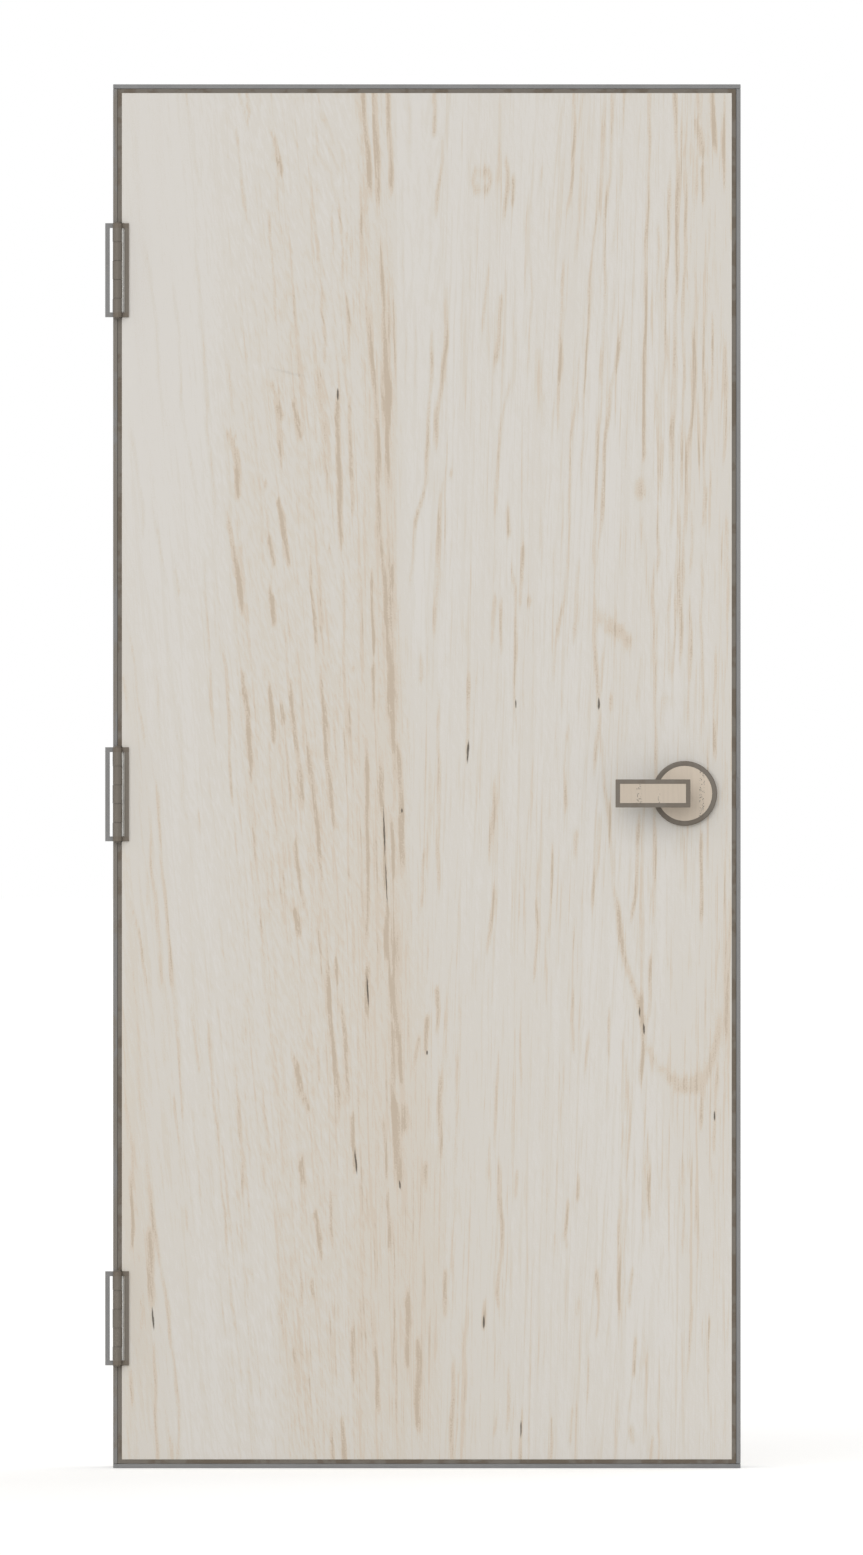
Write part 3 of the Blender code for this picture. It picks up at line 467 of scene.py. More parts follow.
@dataclass(frozen=True)
class Veneer:
    """Pale veneer under a matt lacquer, with its figure in the sheet's own attributes."""

    name: str
    side: Side
    # Units of pattern in a metre, by how long and fine each layer is
    band_scale: Point = (30.0, 1.0, 1.0)
    line_scale: Point = (120.0, 1.0, 3.4)
    thread_scale: Point = (290.0, 1.0, 8.5)
    fibre_scale: Point = (700.0, 1.0, 40.0)
    fleck_scale: Point = (230.0, 1.0, 44.0)
    pore_scale: Point = (620.0, 1.0, 480.0)
    fleck_lean: float = 0.3
    back_seed: float = 31.0
    base_tone: float = 0.02
    relief: float = 0.00012
    # How far the cracks' edges wander, on what scale, and how steep they are
    shake: Point = (0.0022, 0.0, 0.004)
    shake_scale: Point = (220.0, 1.0, 90.0)
    crack_edge: float = 2.5

    def _cracks(self, graph: Surface) -> Value:
        """Mask of the cracks, roughened so that none is a clean stroke.

        Args:
            graph: the material's graph.

        Returns:
            The mask, from 0 to 1.
        """
        rough = graph.node(
            "ShaderNodeTexNoise", {"noise_dimensions": "3D"},
            {"Vector": graph.spread(self.shake_scale), "Scale": 1.0, "Detail": 2.0},
        ).outputs["Color"]
        centred = graph.vectors("MULTIPLY_ADD", rough, self.shake, shade(self.shake, -0.5)).outputs[0]
        moved = graph.vectors("ADD", graph.coordinates, centred).outputs[0]
        mask: Value | float = 0.0
        flip = -self.side.value
        for crack in CRACKS:
            local = graph.node(
                "ShaderNodeMapping", {"vector_type": "TEXTURE"},
                {
                    "Vector": moved,
                    "Location": (DRAWING.x(crack.across) * flip, 0.0, DRAWING.z(crack.down)),
                    "Rotation": (0.0, -math.atan(crack.lean) * flip, 0.0),
                    "Scale": (crack.width / 2 * DRAWING.across, 1.0, crack.length / 2 * DRAWING.up),
                },
            ).outputs[0]
            flat = graph.vectors("MULTIPLY", local, (1.0, 0.0, 1.0)).outputs[0]
            reach = Value(graph, graph.vectors("LENGTH", flat).outputs["Value"])
            mask = ((1.0 - reach) * crack.depth).larger(mask)
        return (mask * self.crack_edge).clamped()

    def material(self) -> bpy.types.Material:
        """Make the veneer's material.

        Returns:
            The material.
        """
        graph = Surface(self.name)
        seed = 0.0 if self.side is Side.FRONT else self.back_seed
        stored = graph.node("ShaderNodeAttribute", {"attribute_name": "figure"})
        parts = graph.node("ShaderNodeSeparateColor", {"mode": "RGB"}, {0: stored.outputs["Color"]})
        streaks, wash, fleck_share = (Value(graph, parts.outputs[place]) for place in range(3))
        line_share = Value(graph, stored.outputs["Alpha"])
        # The grain runs along the stored lean of the wood
        drift = graph.node("ShaderNodeAttribute", {"attribute_name": "drift"}).outputs["Fac"]
        sideways = graph.node("ShaderNodeCombineXYZ", None, {0: drift}).outputs[0]
        grain = graph.vectors("ADD", graph.coordinates, sideways).outputs[0]
        # Long soft bands, lines, threads, the shortest fibres, leaning flecks and pores
        bands = graph.noise(graph.spread(self.band_scale, (seed, 0.0, 3.0), start=grain), 4.0, 0.55, 0.3)
        lines = graph.noise(graph.spread(self.line_scale, (seed, 5.0, 0.0), start=grain), 3.0, 0.6, 0.5)
        threads = graph.noise(graph.spread(self.thread_scale, (seed, 8.0, 4.0), start=grain), 3.0, 0.6, 0.4)
        fibres = graph.noise(graph.spread(self.fibre_scale, (seed, 2.0, 7.0), start=grain), 3.0, 0.6)
        lean = -self.fleck_lean * self.side.value
        flecks = graph.noise(graph.spread(self.fleck_scale, (seed, 9.0, 1.0), lean), 2.0, 0.55, 0.3)
        pores = graph.noise(graph.spread(self.pore_scale, (seed, 4.0, 2.0)), 1.0, 0.5)
        # Lines where the wood is lined, and the stored streaks broken up by the finer layers
        drawn = lines.eased(0.54, 0.66) * 0.38 + threads.eased(0.52, 0.66) * 0.28
        fleck_mask = (flecks - 0.5) * fleck_share
        torn = (threads - 0.5) * 0.35 + (fibres - 0.5) * 0.4 + (pores - 0.5) * 0.3
        core = (streaks + torn + (pores - 0.5) * 0.5).eased(0.46, 0.78)
        body = (streaks + torn * 0.6).eased(0.12, 0.4)
        run = (lines - 0.5) * 0.6 + (threads - 0.5) * 0.8 + (pores - 0.5) * 0.8
        broken = body * 0.27 + streaks * (run + 0.58) + core * 0.3
        tone = (
            wash * 0.45
            + (bands - 0.5) * 0.6
            + drawn * line_share
            + (fibres - 0.5) * 0.3
            + (pores - 0.5) * 0.34
            + fleck_mask * 1.05
            + broken
            + self.base_tone
        )
        wood = graph.ramp(
            tone.clamped(),
            [
                (0.04, Tone.PALE.value),
                (0.16, Tone.CREAM.value),
                (0.32, Tone.CREAM.value),
                (0.4, Tone.SAND.value),
                (0.54, Tone.SAND.value),
                (0.64, Tone.TAN.value),
                (0.85, Tone.TAN.value),
                (1.0, Tone.DEEP_TAN.value),
            ],
        )
        cracks = (self._cracks(graph) * (0.45 + pores)).clamped()
        height = fibres * 0.5 + threads * 0.3 - streaks * 0.35 - cracks * 2.0
        return graph.finish(
            Base_Color=graph.mixed(cracks, wood, Tone.CRACK.value),
            Roughness=0.52 + (fibres - 0.5) * 0.2 + streaks * 0.08,
            Normal=graph.bump(height, self.relief),
            Specular_IOR_Level=0.3,
        )


@dataclass(frozen=True)
class PlainWood:
    """Planed wood with its grain along one axis."""

    name: str
    pale: Colour
    dark: Colour
    scale: Point
    broad_share: float = 0.12
    roughness: float = 0.55
    relief: float = 0.0001

    def material(self) -> bpy.types.Material:
        """Make the wood's material.

        Returns:
            The material.
        """
        graph = Surface(self.name)
        broad = graph.noise(graph.spread(shade(self.scale, self.broad_share)), 3.0, 0.5, 0.6)
        fine = graph.noise(graph.spread(self.scale), 4.0, 0.6, 0.2)
        tone = (broad.eased(0.3, 0.75) * 0.6 + fine.eased(0.35, 0.75) * 0.55).clamped()
        return graph.finish(
            Base_Color=graph.ramp(tone, [(0.0, self.pale), (1.0, self.dark)]),
            Roughness=self.roughness + (fine - 0.5) * 0.2,
            Normal=graph.bump(fine, self.relief),
        )


@dataclass(frozen=True)
class ChipBoard:
    """Pressed wood chips."""

    name: str
    chip_scale: Point = (320.0, 320.0, 190.0)
    dust_scale: Point = (900.0, 900.0, 900.0)
    darkest: float = 0.62
    relief: float = 0.0003

    def material(self) -> bpy.types.Material:
        """Make the board's material.

        Returns:
            The material.
        """
        graph = Surface(self.name)
        chips = graph.cells(self.chip_scale, 1.0)
        dust = graph.noise(graph.spread(self.dust_scale), 2.0)
        tone = (chips * 0.8 + (dust - 0.5) * 0.5).clamped()
        stops = [(0.0, Tone.CORE_WOOD.value), (1.0, shade(Tone.CORE_WOOD.value, self.darkest))]
        return graph.finish(
            Base_Color=graph.ramp(tone, stops),
            Roughness=0.85 - chips * 0.1,
            Normal=graph.bump(chips, self.relief),
        )


@dataclass(frozen=True)
class CoatedSteel:
    """Satin coating on steel, with a fine texture and paler specks."""

    name: str
    colour: Colour
    dark: Colour
    speck: Colour
    specks: float = 0.35
    roughness: float = 0.42
    metallic: float = 0.1
    clouds: float = 0.75
    peel_scale: Point = (520.0, 520.0, 520.0)
    cloud_scale: Point = (30.0, 30.0, 11.0)
    grit_scale: Point = (1100.0, 1100.0, 900.0)
    patch_scale: Point = (60.0, 60.0, 22.0)
    relief: float = 0.00003

    def base(self, graph: Surface) -> object:
        """The coating's colour before its clouds and specks."""
        return self.colour

    def material(self) -> bpy.types.Material:
        """Make the coating's material.

        Returns:
            The material.
        """
        graph = Surface(self.name)
        peel = graph.noise(graph.spread(self.peel_scale), 3.0, 0.55)
        cloud = graph.noise(graph.spread(self.cloud_scale), 3.0, 0.6, 0.4)
        grit = graph.noise(graph.spread(self.grit_scale, (3.0, 1.0, 8.0)), 1.0)
        patches = graph.noise(graph.spread(self.patch_scale, (1.0, 6.0, 2.0)), 2.0)
        share = (cloud.eased(0.46, 0.6) * self.clouds + (grit - 0.5) * 0.5).clamped()
        shaded = graph.mixed(share, self.base(graph), self.dark)
        spots = grit.eased(0.62, 0.7) * patches.eased(0.48, 0.62) * self.specks
        return graph.finish(
            Base_Color=graph.mixed(spots, shaded, self.speck),
            Roughness=self.roughness + (cloud - 0.5) * 0.16 + (peel - 0.5) * 0.1,
            Metallic=self.metallic,
            Normal=graph.bump(peel, self.relief),
            Specular_IOR_Level=0.28,
        )


@dataclass(frozen=True)
class FrontEdgeCoating(CoatedSteel):
    """The hinge jamb's coating, which is another colour on its front edge."""

    edge: Colour = Tone.BROWN_GREY.value
    edge_back: float = 0.0

    def base(self, graph: Surface) -> Socket:
        """The jamb's two colours, parted by depth."""
        return graph.mixed((self.edge_back - graph.axes()[1]).above(0.0), self.colour, self.edge)


@dataclass(frozen=True)
class HingeCoating(CoatedSteel):
    """The hinge's coating: grey beside the wall, darker on the crossing bars, and in the leaf's slot pale
    paint lightened to near white as painted light against the barrel's shade.
    """

    wall: Colour = Tone.STEEL_GREY.value
    wall_edge: float = 0.0
    bars: tuple[tuple[float, float], ...] = ()
    slot: tuple[float, float] = (0.0, 0.0)
    slot_front: float = 0.0
    slot_painted_light: Colour = (0.94, 0.93, 0.89)

    def base(self, graph: Surface) -> Socket:
        """The flange's grey, the bars' dark tone, the plate end in the slot in near-white painted light
        against the barrel's shade, and the coating between.

        Args:
            graph: the material's graph.

        Returns:
            The colour socket.
        """
        across, depth, height = graph.axes()
        bar: Value | float = 0.0
        for low, high in self.bars:
            bar = (height.above(low) * (1.0 - height.above(high))).larger(bar)
        coated = graph.mixed(bar, self.colour, self.dark)
        # The plate's end in the flange's slot is painted near white: pale paint lightened as painted light
        # against the shade that the barrel casts into the slot
        beside = across.above(self.slot[0]) * (1.0 - across.above(self.slot[1]))
        inside = beside * depth.above(self.slot_front) * (1.0 - bar)
        painted = graph.mixed(inside, coated, self.slot_painted_light)
        return graph.mixed((self.wall_edge - across).above(0.0), painted, self.wall)


@dataclass(frozen=True)
class FittingWood:
    """The tan wood of the roses and the levers' inlays, with a few rows of fine dark pores."""

    name: str
    pale: Colour = Tone.FITTING_TAN.value
    # Each row's middle and half its width, and how far the rows sway, in drawing units
    rows: tuple[tuple[float, float], ...] = ((639.0, 2.6), (659.0, 1.2), (702.5, 2.6))
    sway: float = 1.6
    grain_scale: Point = (260.0, 260.0, 14.0)
    sway_scale: Point = (1.0, 1.0, 60.0)
    pore_scale: Point = (440.0, 0.0, 440.0)
    darkest: float = 0.88
    relief: float = 0.00005

    def material(self) -> bpy.types.Material:
        """Make the fitting's material.

        Returns:
            The material.
        """
        graph = Surface(self.name)
        grain = graph.noise(graph.spread(self.grain_scale), 4.0, 0.55, 0.3)
        sway = graph.noise(graph.spread(self.sway_scale, (4.0, 0.0, 1.0)), 1.0)
        dots = graph.cells(self.pore_scale, 0.75)
        across = graph.axes()[0] + (sway - 0.5) * (self.sway * 2 * DRAWING.across)
        near: Value | float = 0.0
        for unit, width in self.rows:
            reach = abs(across - DRAWING.x(unit)) * (1.0 / (width * DRAWING.across))
            near = (1.0 - reach).above(0.0).larger(near)
        dark = (1.0 - dots.eased(0.26, 0.4)) * near
        stops = [(0.0, self.pale), (1.0, shade(self.pale, self.darkest))]
        wood = graph.ramp((grain.eased(0.42, 0.78) * 0.6).clamped(), stops)
        return graph.finish(
            Base_Color=graph.mixed(dark, wood, Tone.BROWN_GREY.value),
            Roughness=0.48 + (grain - 0.5) * 0.2,
            Normal=graph.bump(grain - dark, self.relief),
            Specular_IOR_Level=0.3,
        )


@dataclass(frozen=True)
class BrushedSteel:
    """Bright steel brushed along Z."""

    name: str
    colour: Colour
    roughness: float = 0.34
    metallic: float = 0.9
    brush_scale: Point = (2600.0, 2600.0, 60.0)
    smudge_scale: Point = (45.0, 45.0, 30.0)
    smudged: float = 0.8
    relief: float = 0.00002

    def material(self) -> bpy.types.Material:
        """Make the steel's material.

        Returns:
            The material.
        """
        graph = Surface(self.name)
        brushing = graph.noise(graph.spread(self.brush_scale), 3.0, 0.6)
        smudge = graph.noise(graph.spread(self.smudge_scale), 3.0)
        return graph.finish(
            Base_Color=graph.mixed(smudge.eased(0.4, 0.8), self.colour, shade(self.colour, self.smudged)),
            Roughness=self.roughness + (brushing - 0.5) * 0.22 + (smudge - 0.5) * 0.14,
            Metallic=self.metallic,
            Normal=graph.bump(brushing, self.relief),
        )


@dataclass(frozen=True)
class Rubber:
    """Matt black rubber."""

    name: str
    skin_scale: Point = (700.0, 700.0, 240.0)
    bloom_scale: Point = (30.0, 30.0, 7.0)
    bloomed: float = 1.9
    relief: float = 0.00004

    def material(self) -> bpy.types.Material:
        """Make the rubber's material.

        Returns:
            The material.
        """
        graph = Surface(self.name)
        skin = graph.noise(graph.spread(self.skin_scale), 3.0)
        bloom = graph.noise(graph.spread(self.bloom_scale), 3.0)
        share = bloom.eased(0.45, 0.8) * 0.6
        return graph.finish(
            Base_Color=graph.mixed(share, Tone.RUBBER.value, shade(Tone.RUBBER.value, self.bloomed)),
            Roughness=0.72 + (skin - 0.5) * 0.25,
            Normal=graph.bump(skin, self.relief),
        )


@dataclass(frozen=True)
class Pile:
    """The dense brush pile of the gap seals, whose hairs stand side by side along one axis."""

    name: str
    along: int
    hairs_in_row: float = 1300.0
    hairs_across: float = 120.0
    patch_scale: Point = (26.0, 26.0, 26.0)
    relief: float = 0.00008

    def material(self) -> bpy.types.Material:
        """Make the pile's material.

        Returns:
            The material.
        """
        graph = Surface(self.name)
        scale = [self.hairs_across] * 3
        scale[self.along] = self.hairs_in_row
        hairs = graph.noise(graph.spread(tuple(scale)), 2.0, 0.6)
        patch = graph.noise(graph.spread(self.patch_scale, (7.0, 1.0, 3.0)), 3.0, 0.6)
        # The pile's brown-greys take the tone of the shaded gap between leaf and frame, so the seal is partly
        # painted shade as well as a real seal
        pile = graph.mixed(patch.eased(0.47, 0.56), Tone.BROWN_GREY.value, Tone.DARK_BROWN_GREY.value)
        return graph.finish(
            Base_Color=graph.mixed(hairs.eased(0.6, 0.74) * 0.55, pile, Tone.SPECK.value),
            Roughness=0.9 - (hairs - 0.5) * 0.1,
            Normal=graph.bump(hairs, self.relief),
            Specular_IOR_Level=0.2,
        )


# Hand tools


class Bench:
    """Adds primitives, shapes them in edit mode and finishes them."""

    @staticmethod
    def clear() -> None:
        """Leave edit mode and deselect everything."""
        if bpy.context.object and bpy.context.object.mode != "OBJECT":
            bpy.ops.object.mode_set(mode="OBJECT")
        bpy.ops.object.select_all(action="DESELECT")

    @staticmethod
    def take(piece: bpy.types.Object) -> bpy.types.Object:
        """Select one piece alone and make it active.

        Args:
            piece: the piece.

        Returns:
            The piece.
        """
        Bench.clear()
        piece.select_set(True)
        bpy.context.view_layer.objects.active = piece
        return piece

    @staticmethod
    def settle(piece: bpy.types.Object) -> bpy.types.Object:
        """Move a piece's place, turn and scale into its mesh.

        Args:
            piece: the piece.

        Returns:
            The piece.
        """
        Bench.take(piece)
        bpy.ops.object.transform_apply(location=True, rotation=True, scale=True)
        return piece

    @staticmethod
    def block(name: str, low: Point, high: Point) -> bpy.types.Object:
        """Add a box between two corners.

        Args:
            name: its name.
            low: the corner with the lowest values.
            high: the corner with the highest values.

        Returns:
            The box.
        """
        low_corner, high_corner = Vector(low), Vector(high)
        Bench.clear()
        bpy.ops.mesh.primitive_cube_add(size=1.0, location=(low_corner + high_corner) / 2)
        piece = bpy.context.object
        piece.name = name
        piece.scale = high_corner - low_corner
        return Bench.settle(piece)

    @staticmethod
    def rod(name: str, radius: float, start: Point, end: Point, sides: int = 32) -> bpy.types.Object:
        """Add a round bar from one point to another.

        Args:
            name: its name.
            radius: its radius.
            start: the middle of its first end.
            end: the middle of its other end.
            sides: how many sides it has.

        Returns:
            The bar.
        """
        first, last = Vector(start), Vector(end)
        Bench.clear()
        bpy.ops.mesh.primitive_cylinder_add(
            vertices=sides, radius=radius, depth=(last - first).length, location=(first + last) / 2,
            rotation=(last - first).to_track_quat("Z", "Y").to_euler(),
        )
        piece = bpy.context.object
        piece.name = name
        return Bench.settle(piece)

    @staticmethod
    def _edit(piece: bpy.types.Object, kind: Part, test: Callable[[object], bool]) -> None:
        """Enter edit mode with some faces or edges selected.

        Args:
            piece: the piece.
            kind: faces or edges.
            test: says which of them are taken.
        """
        Bench.take(piece)
        bpy.ops.object.mode_set(mode="EDIT")
        bpy.ops.mesh.select_mode(type=kind.name)
        bpy.ops.mesh.select_all(action="DESELECT")
        bpy.ops.object.mode_set(mode="OBJECT")
        for part in [part for part in getattr(piece.data, kind.value) if test(part)]:
            part.select = True
        bpy.ops.object.mode_set(mode="EDIT")

    @staticmethod
    def edit_faces(piece: bpy.types.Object, way: Point) -> None:
        """Enter edit mode with the faces that look one way selected.

        Args:
            piece: the piece.
            way: the direction, of length 1.
        """
        Bench._edit(piece, Part.FACE, lambda face: face.normal.dot(Vector(way)) > SQUARE_ON)

    @staticmethod
    def edit_edges(piece: bpy.types.Object, test: Callable[[Vector, Vector], bool]) -> None:
        """Enter edit mode with the edges whose two ends pass a test selected.

        Args:
            piece: the piece.
            test: says from an edge's two ends whether it is taken.
        """
        points = piece.data.vertices
        Bench._edit(piece, Part.EDGE, lambda edge: test(*(points[end].co for end in edge.vertices)))

    @staticmethod
    def done() -> None:
        """Leave edit mode."""
        bpy.ops.object.mode_set(mode="OBJECT")

    @staticmethod
    def carve(piece: bpy.types.Object, tools: list[bpy.types.Object]) -> bpy.types.Object:
        """Cut tools out of a piece and remove them.

        Args:
            piece: the piece.
            tools: closed solids.

        Returns:
            The piece.
        """
        for tool in tools:
            cut = piece.modifiers.new("carve", "BOOLEAN")
            cut.operation = "DIFFERENCE"
            cut.solver = "EXACT"
            cut.object = tool
            Bench.take(piece)
            bpy.ops.object.modifier_apply(modifier=cut.name)
            bpy.data.objects.remove(tool, do_unlink=True)
        return piece

    @staticmethod
    def join(name: str, pieces: list[bpy.types.Object]) -> bpy.types.Object:
        """Join pieces into one object.

        Args:
            name: its name.
            pieces: the pieces, first of which it grows from.

        Returns:
            The joined piece.
        """
        Bench.clear()
        for piece in pieces:
            piece.select_set(True)
        bpy.context.view_layer.objects.active = pieces[0]
        if len(pieces) > 1:
            bpy.ops.object.join()
        joined = bpy.context.object
        joined.name = name
        joined.data.name = name
        return joined

    @staticmethod
    def copy(
        piece: bpy.types.Object, name: str, place: Point, facing: Point, spin: float = 0.0
    ) -> bpy.types.Object:
        """A copy with its own mesh, moved from the origin and turned from +Z.

        Args:
            piece: a piece that faces +Z at the origin.
            name: the copy's name.
            place: where its origin goes.
            facing: where its +Z goes.
            spin: turn about its own Z, in radians, made first.

        Returns:
            The copy.
        """
        made = piece.copy()
        made.data = piece.data.copy()
        made.name = name
        bpy.context.scene.collection.objects.link(made)
        made.rotation_euler.z = spin
        Bench.settle(made)
        made.location = place
        made.rotation_euler = Vector(facing).to_track_quat("Z", "Y").to_euler()
        return Bench.settle(made)

    @staticmethod
    def smooth(piece: bpy.types.Object, degrees: float = 32.0) -> bpy.types.Object:
        """Shade smooth up to an angle.

        Args:
            piece: the piece.
            degrees: the sharpest angle that is smoothed.

        Returns:
            The piece.
        """
        Bench.take(piece)
        bpy.ops.object.shade_smooth_by_angle(angle=math.radians(degrees))
        return piece

    @staticmethod
    def hand_over(
        piece: bpy.types.Object, material: bpy.types.Material, body: Body, slot: Slot
    ) -> bpy.types.Object:
        """Dress a finished piece and let it ride on its body.

        Args:
            piece: the piece.
            material: its only material.
            body: the body that it moves with.
            slot: the material slot that it belongs to; not used.

        Returns:
            The piece.
        """
        piece.data.materials.clear()
        piece.data.materials.append(material)
        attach(piece, body.value)
        LOG.info("%s: %d faces, rides on %s", piece.name, len(piece.data.polygons), body.value)
        return piece


def dress(nodes: Iterable[str], material: bpy.types.Material) -> None:
    """Give carried-over nodes a material in place of their plain one.

    Args:
        nodes: names of the nodes.
        material: their new material.
    """
    for name in nodes:
        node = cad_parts[name]
        for place in range(len(node.material_slots)):
            node.material_slots[place].material = material
        LOG.info("%s is dressed in %s", name, material.name)


# Screws


@dataclass
class ScrewSet:
    """Countersunk screws with a cross recess, all of one size."""

    head_radius: float
    head_depth: float
    steel: bpy.types.Material
    sunk: float = 0.00012
    over: float = 0.001
    # Shares of the head's radius, and the last one of its depth
    rim: float = 0.94
    foot: float = 0.55
    crown_edge: float = 0.12
    crown_rise: float = 0.03
    recess: float = 0.55
    slot_width: float = 0.17
    recess_depth: float = 0.55
    # Each screw is turned on from the one before, in radians
    turn: float = 1.9
    first_turn: float = 0.2
    sides: int = 24

    def pattern(self) -> bpy.types.Object:
        """Model one head at the origin, facing +Z, sunk just under its face.

        Returns:
            The head.
        """
        top = -self.sunk
        foot = (0, 0, -self.head_depth)
        head = Bench.rod("screw_head", self.head_radius * self.rim, foot, (0, 0, top), self.sides)
        Bench.edit_faces(head, (0, 0, -1))
        bpy.ops.transform.resize(value=(self.foot, self.foot, 1.0))
        Bench.edit_faces(head, (0, 0, 1))
        bpy.ops.mesh.inset(
            thickness=self.head_radius * self.crown_edge, depth=self.head_radius * self.crown_rise
        )
        Bench.done()
        reach, half = self.head_radius * self.recess, self.head_radius * self.slot_width / 2
        bottom = top - self.head_depth * self.recess_depth
        tools = [
            Bench.block("slot_across", (-reach, -half, bottom), (reach, half, self.over)),
            Bench.block("slot_along", (-half, -reach, bottom), (half, reach, self.over)),
        ]
        Bench.carve(head, tools)
        return Bench.smooth(head)

    def place(self, name: str, places: list[Point], facing: Point, body: Body) -> bpy.types.Object:
        """Set copies of the screw at several places, as one piece.

        Args:
            name: the piece's name.
            places: where each head's face lies.
            facing: the way the heads face.
            body: the body that they ride on.

        Returns:
            The piece.
        """
        model = self.pattern()
        heads = [
            Bench.copy(model, f"{name}_{number}", place, facing, (number + self.first_turn) * self.turn)
            for number, place in enumerate(places)
        ]
        bpy.data.objects.remove(model, do_unlink=True)
        return Bench.hand_over(Bench.join(name, heads), self.steel, body, Slot.STEEL)


# Veneer sheets


@dataclass(frozen=True)
class Streak:
    """A streak of the figure through listed points, in drawing units across and down."""

    points: tuple[tuple[float, float], ...]
    depth: float = 0.5
    width: float = 2.4


# Upper left, where the grain leans and fades to clear wood
UPPER_LEFT = (
    Streak(((185, 94), (200, 197)), 0.34),
    Streak(((192, 218), (203, 345), (206, 418), (216, 554)), 0.36),
    Streak(((144, 242), (156, 321), (157, 373), (166, 433)), 0.3),
    Streak(((143, 246), (147, 268)), 0.45, 3.0),
    Streak(((168, 255), (179, 333), (180, 403), (191, 467), (201, 539)), 0.34),
    Streak(((232, 118), (238, 150), (248, 238)), 0.5, 3.0),
    Streak(((238, 90), (248, 128)), 0.66, 3.0),
    Streak(((246, 88), (249, 120)), 0.6),
    Streak(((270, 130), (276, 150), (282, 178)), 0.74, 3.4),
    Streak(((268, 200), (272, 268), (277, 336)), 0.42),
    Streak(((316, 112), (318, 221)), 0.34),
    Streak(((332, 206), (333, 260)), 0.5),
    Streak(((339, 197), (344, 294)), 0.5),
    Streak(((321, 279), (325, 373)), 0.46),
    Streak(((129, 418), (141, 503), (143, 545)), 0.36),
    Streak(((150, 491), (161, 560), (168, 600)), 0.38),
    Streak(((226, 427), (235, 457), (239, 503)), 0.84, 4.6),
    Streak(((226, 506), (230, 535), (239, 591), (244, 620)), 0.84, 3.4),
    Streak(((270, 376), (277, 400), (282, 425)), 0.56, 5.0),
    Streak(((291, 400), (296, 418), (301, 443)), 0.72, 4.0),
    Streak(((277, 494), (283, 530), (289, 570)), 0.9, 3.6),
    Streak(((263, 478), (266, 489)), 0.7, 3.0),
    Streak(((265, 530), (271, 552), (275, 572)), 0.7, 3.0),
    Streak(((209, 442), (217, 515)), 0.44),
    Streak(((269, 374), (277, 402), (280, 440), (281, 474)), 0.46, 5.4),
)

# The strong tan band left of the middle
TAN_BAND = (
    Streak(((363, 88), (367, 145), (372, 205)), 0.86, 3.4),
    Streak(((375, 88), (377, 150), (379, 214)), 0.66, 4.5),
    Streak(((388, 88), (390, 150), (392, 202)), 0.78, 3.6),
    Streak(((360, 173), (361, 230), (362, 280)), 0.5),
    Streak(((380, 227), (384, 320), (386, 380), (388, 427), (388, 510)), 0.76, 3.0),
    Streak(((385, 368), (389, 392), (387, 420)), 0.9, 5.6),
    Streak(((378, 216), (384, 300), (387, 420), (389, 520)), 0.24, 16.0),
    Streak(((365, 279), (369, 342), (374, 376), (377, 427), (380, 557)), 0.62, 3.4),
    Streak(((338, 384), (338, 433), (339, 476), (342, 556)), 0.92, 3.8),
    Streak(((350, 388), (350, 430), (351, 463), (353, 524)), 0.66, 3.0),
    Streak(((380, 527), (383, 560), (385, 600), (387, 640)), 0.62, 3.0),
    Streak(((392, 560), (393, 592)), 0.62, 2.6),
    Streak(((374, 662), (373, 690), (373, 716)), 0.5, 3.0),
    Streak(((371, 564), (374, 660)), 0.62),
    Streak(((388, 600), (392, 726), (397, 768)), 0.5, 4.6),
    Streak(((391, 520), (393, 640), (393, 740)), 0.26, 12.0),
    Streak(((379, 744), (383, 804), (386, 905)), 0.56, 3.4),
    Streak(((365, 726), (367, 798), (368, 891), (367, 960)), 0.5, 3.0),
    Streak(((396, 738), (399, 762), (402, 810), (402, 885)), 0.66, 4.0),
    Streak(((391, 810), (394, 886)), 0.56),
    Streak(((387, 897), (386, 946), (389, 966)), 0.8, 3.2),
    Streak(((389, 963), (392, 992), (396, 1019), (400, 1043), (401, 1072), (403, 1098)), 0.66, 3.0),
    Streak(((394, 900), (396, 1000), (398, 1100)), 0.3, 10.0),
    Streak(((394, 1092), (396, 1136), (400, 1188)), 0.76, 5.0),
    Streak(((404, 1095), (406, 1135)), 0.4, 9.0),
    Streak(((388, 1185), (389, 1252)), 0.62),
)

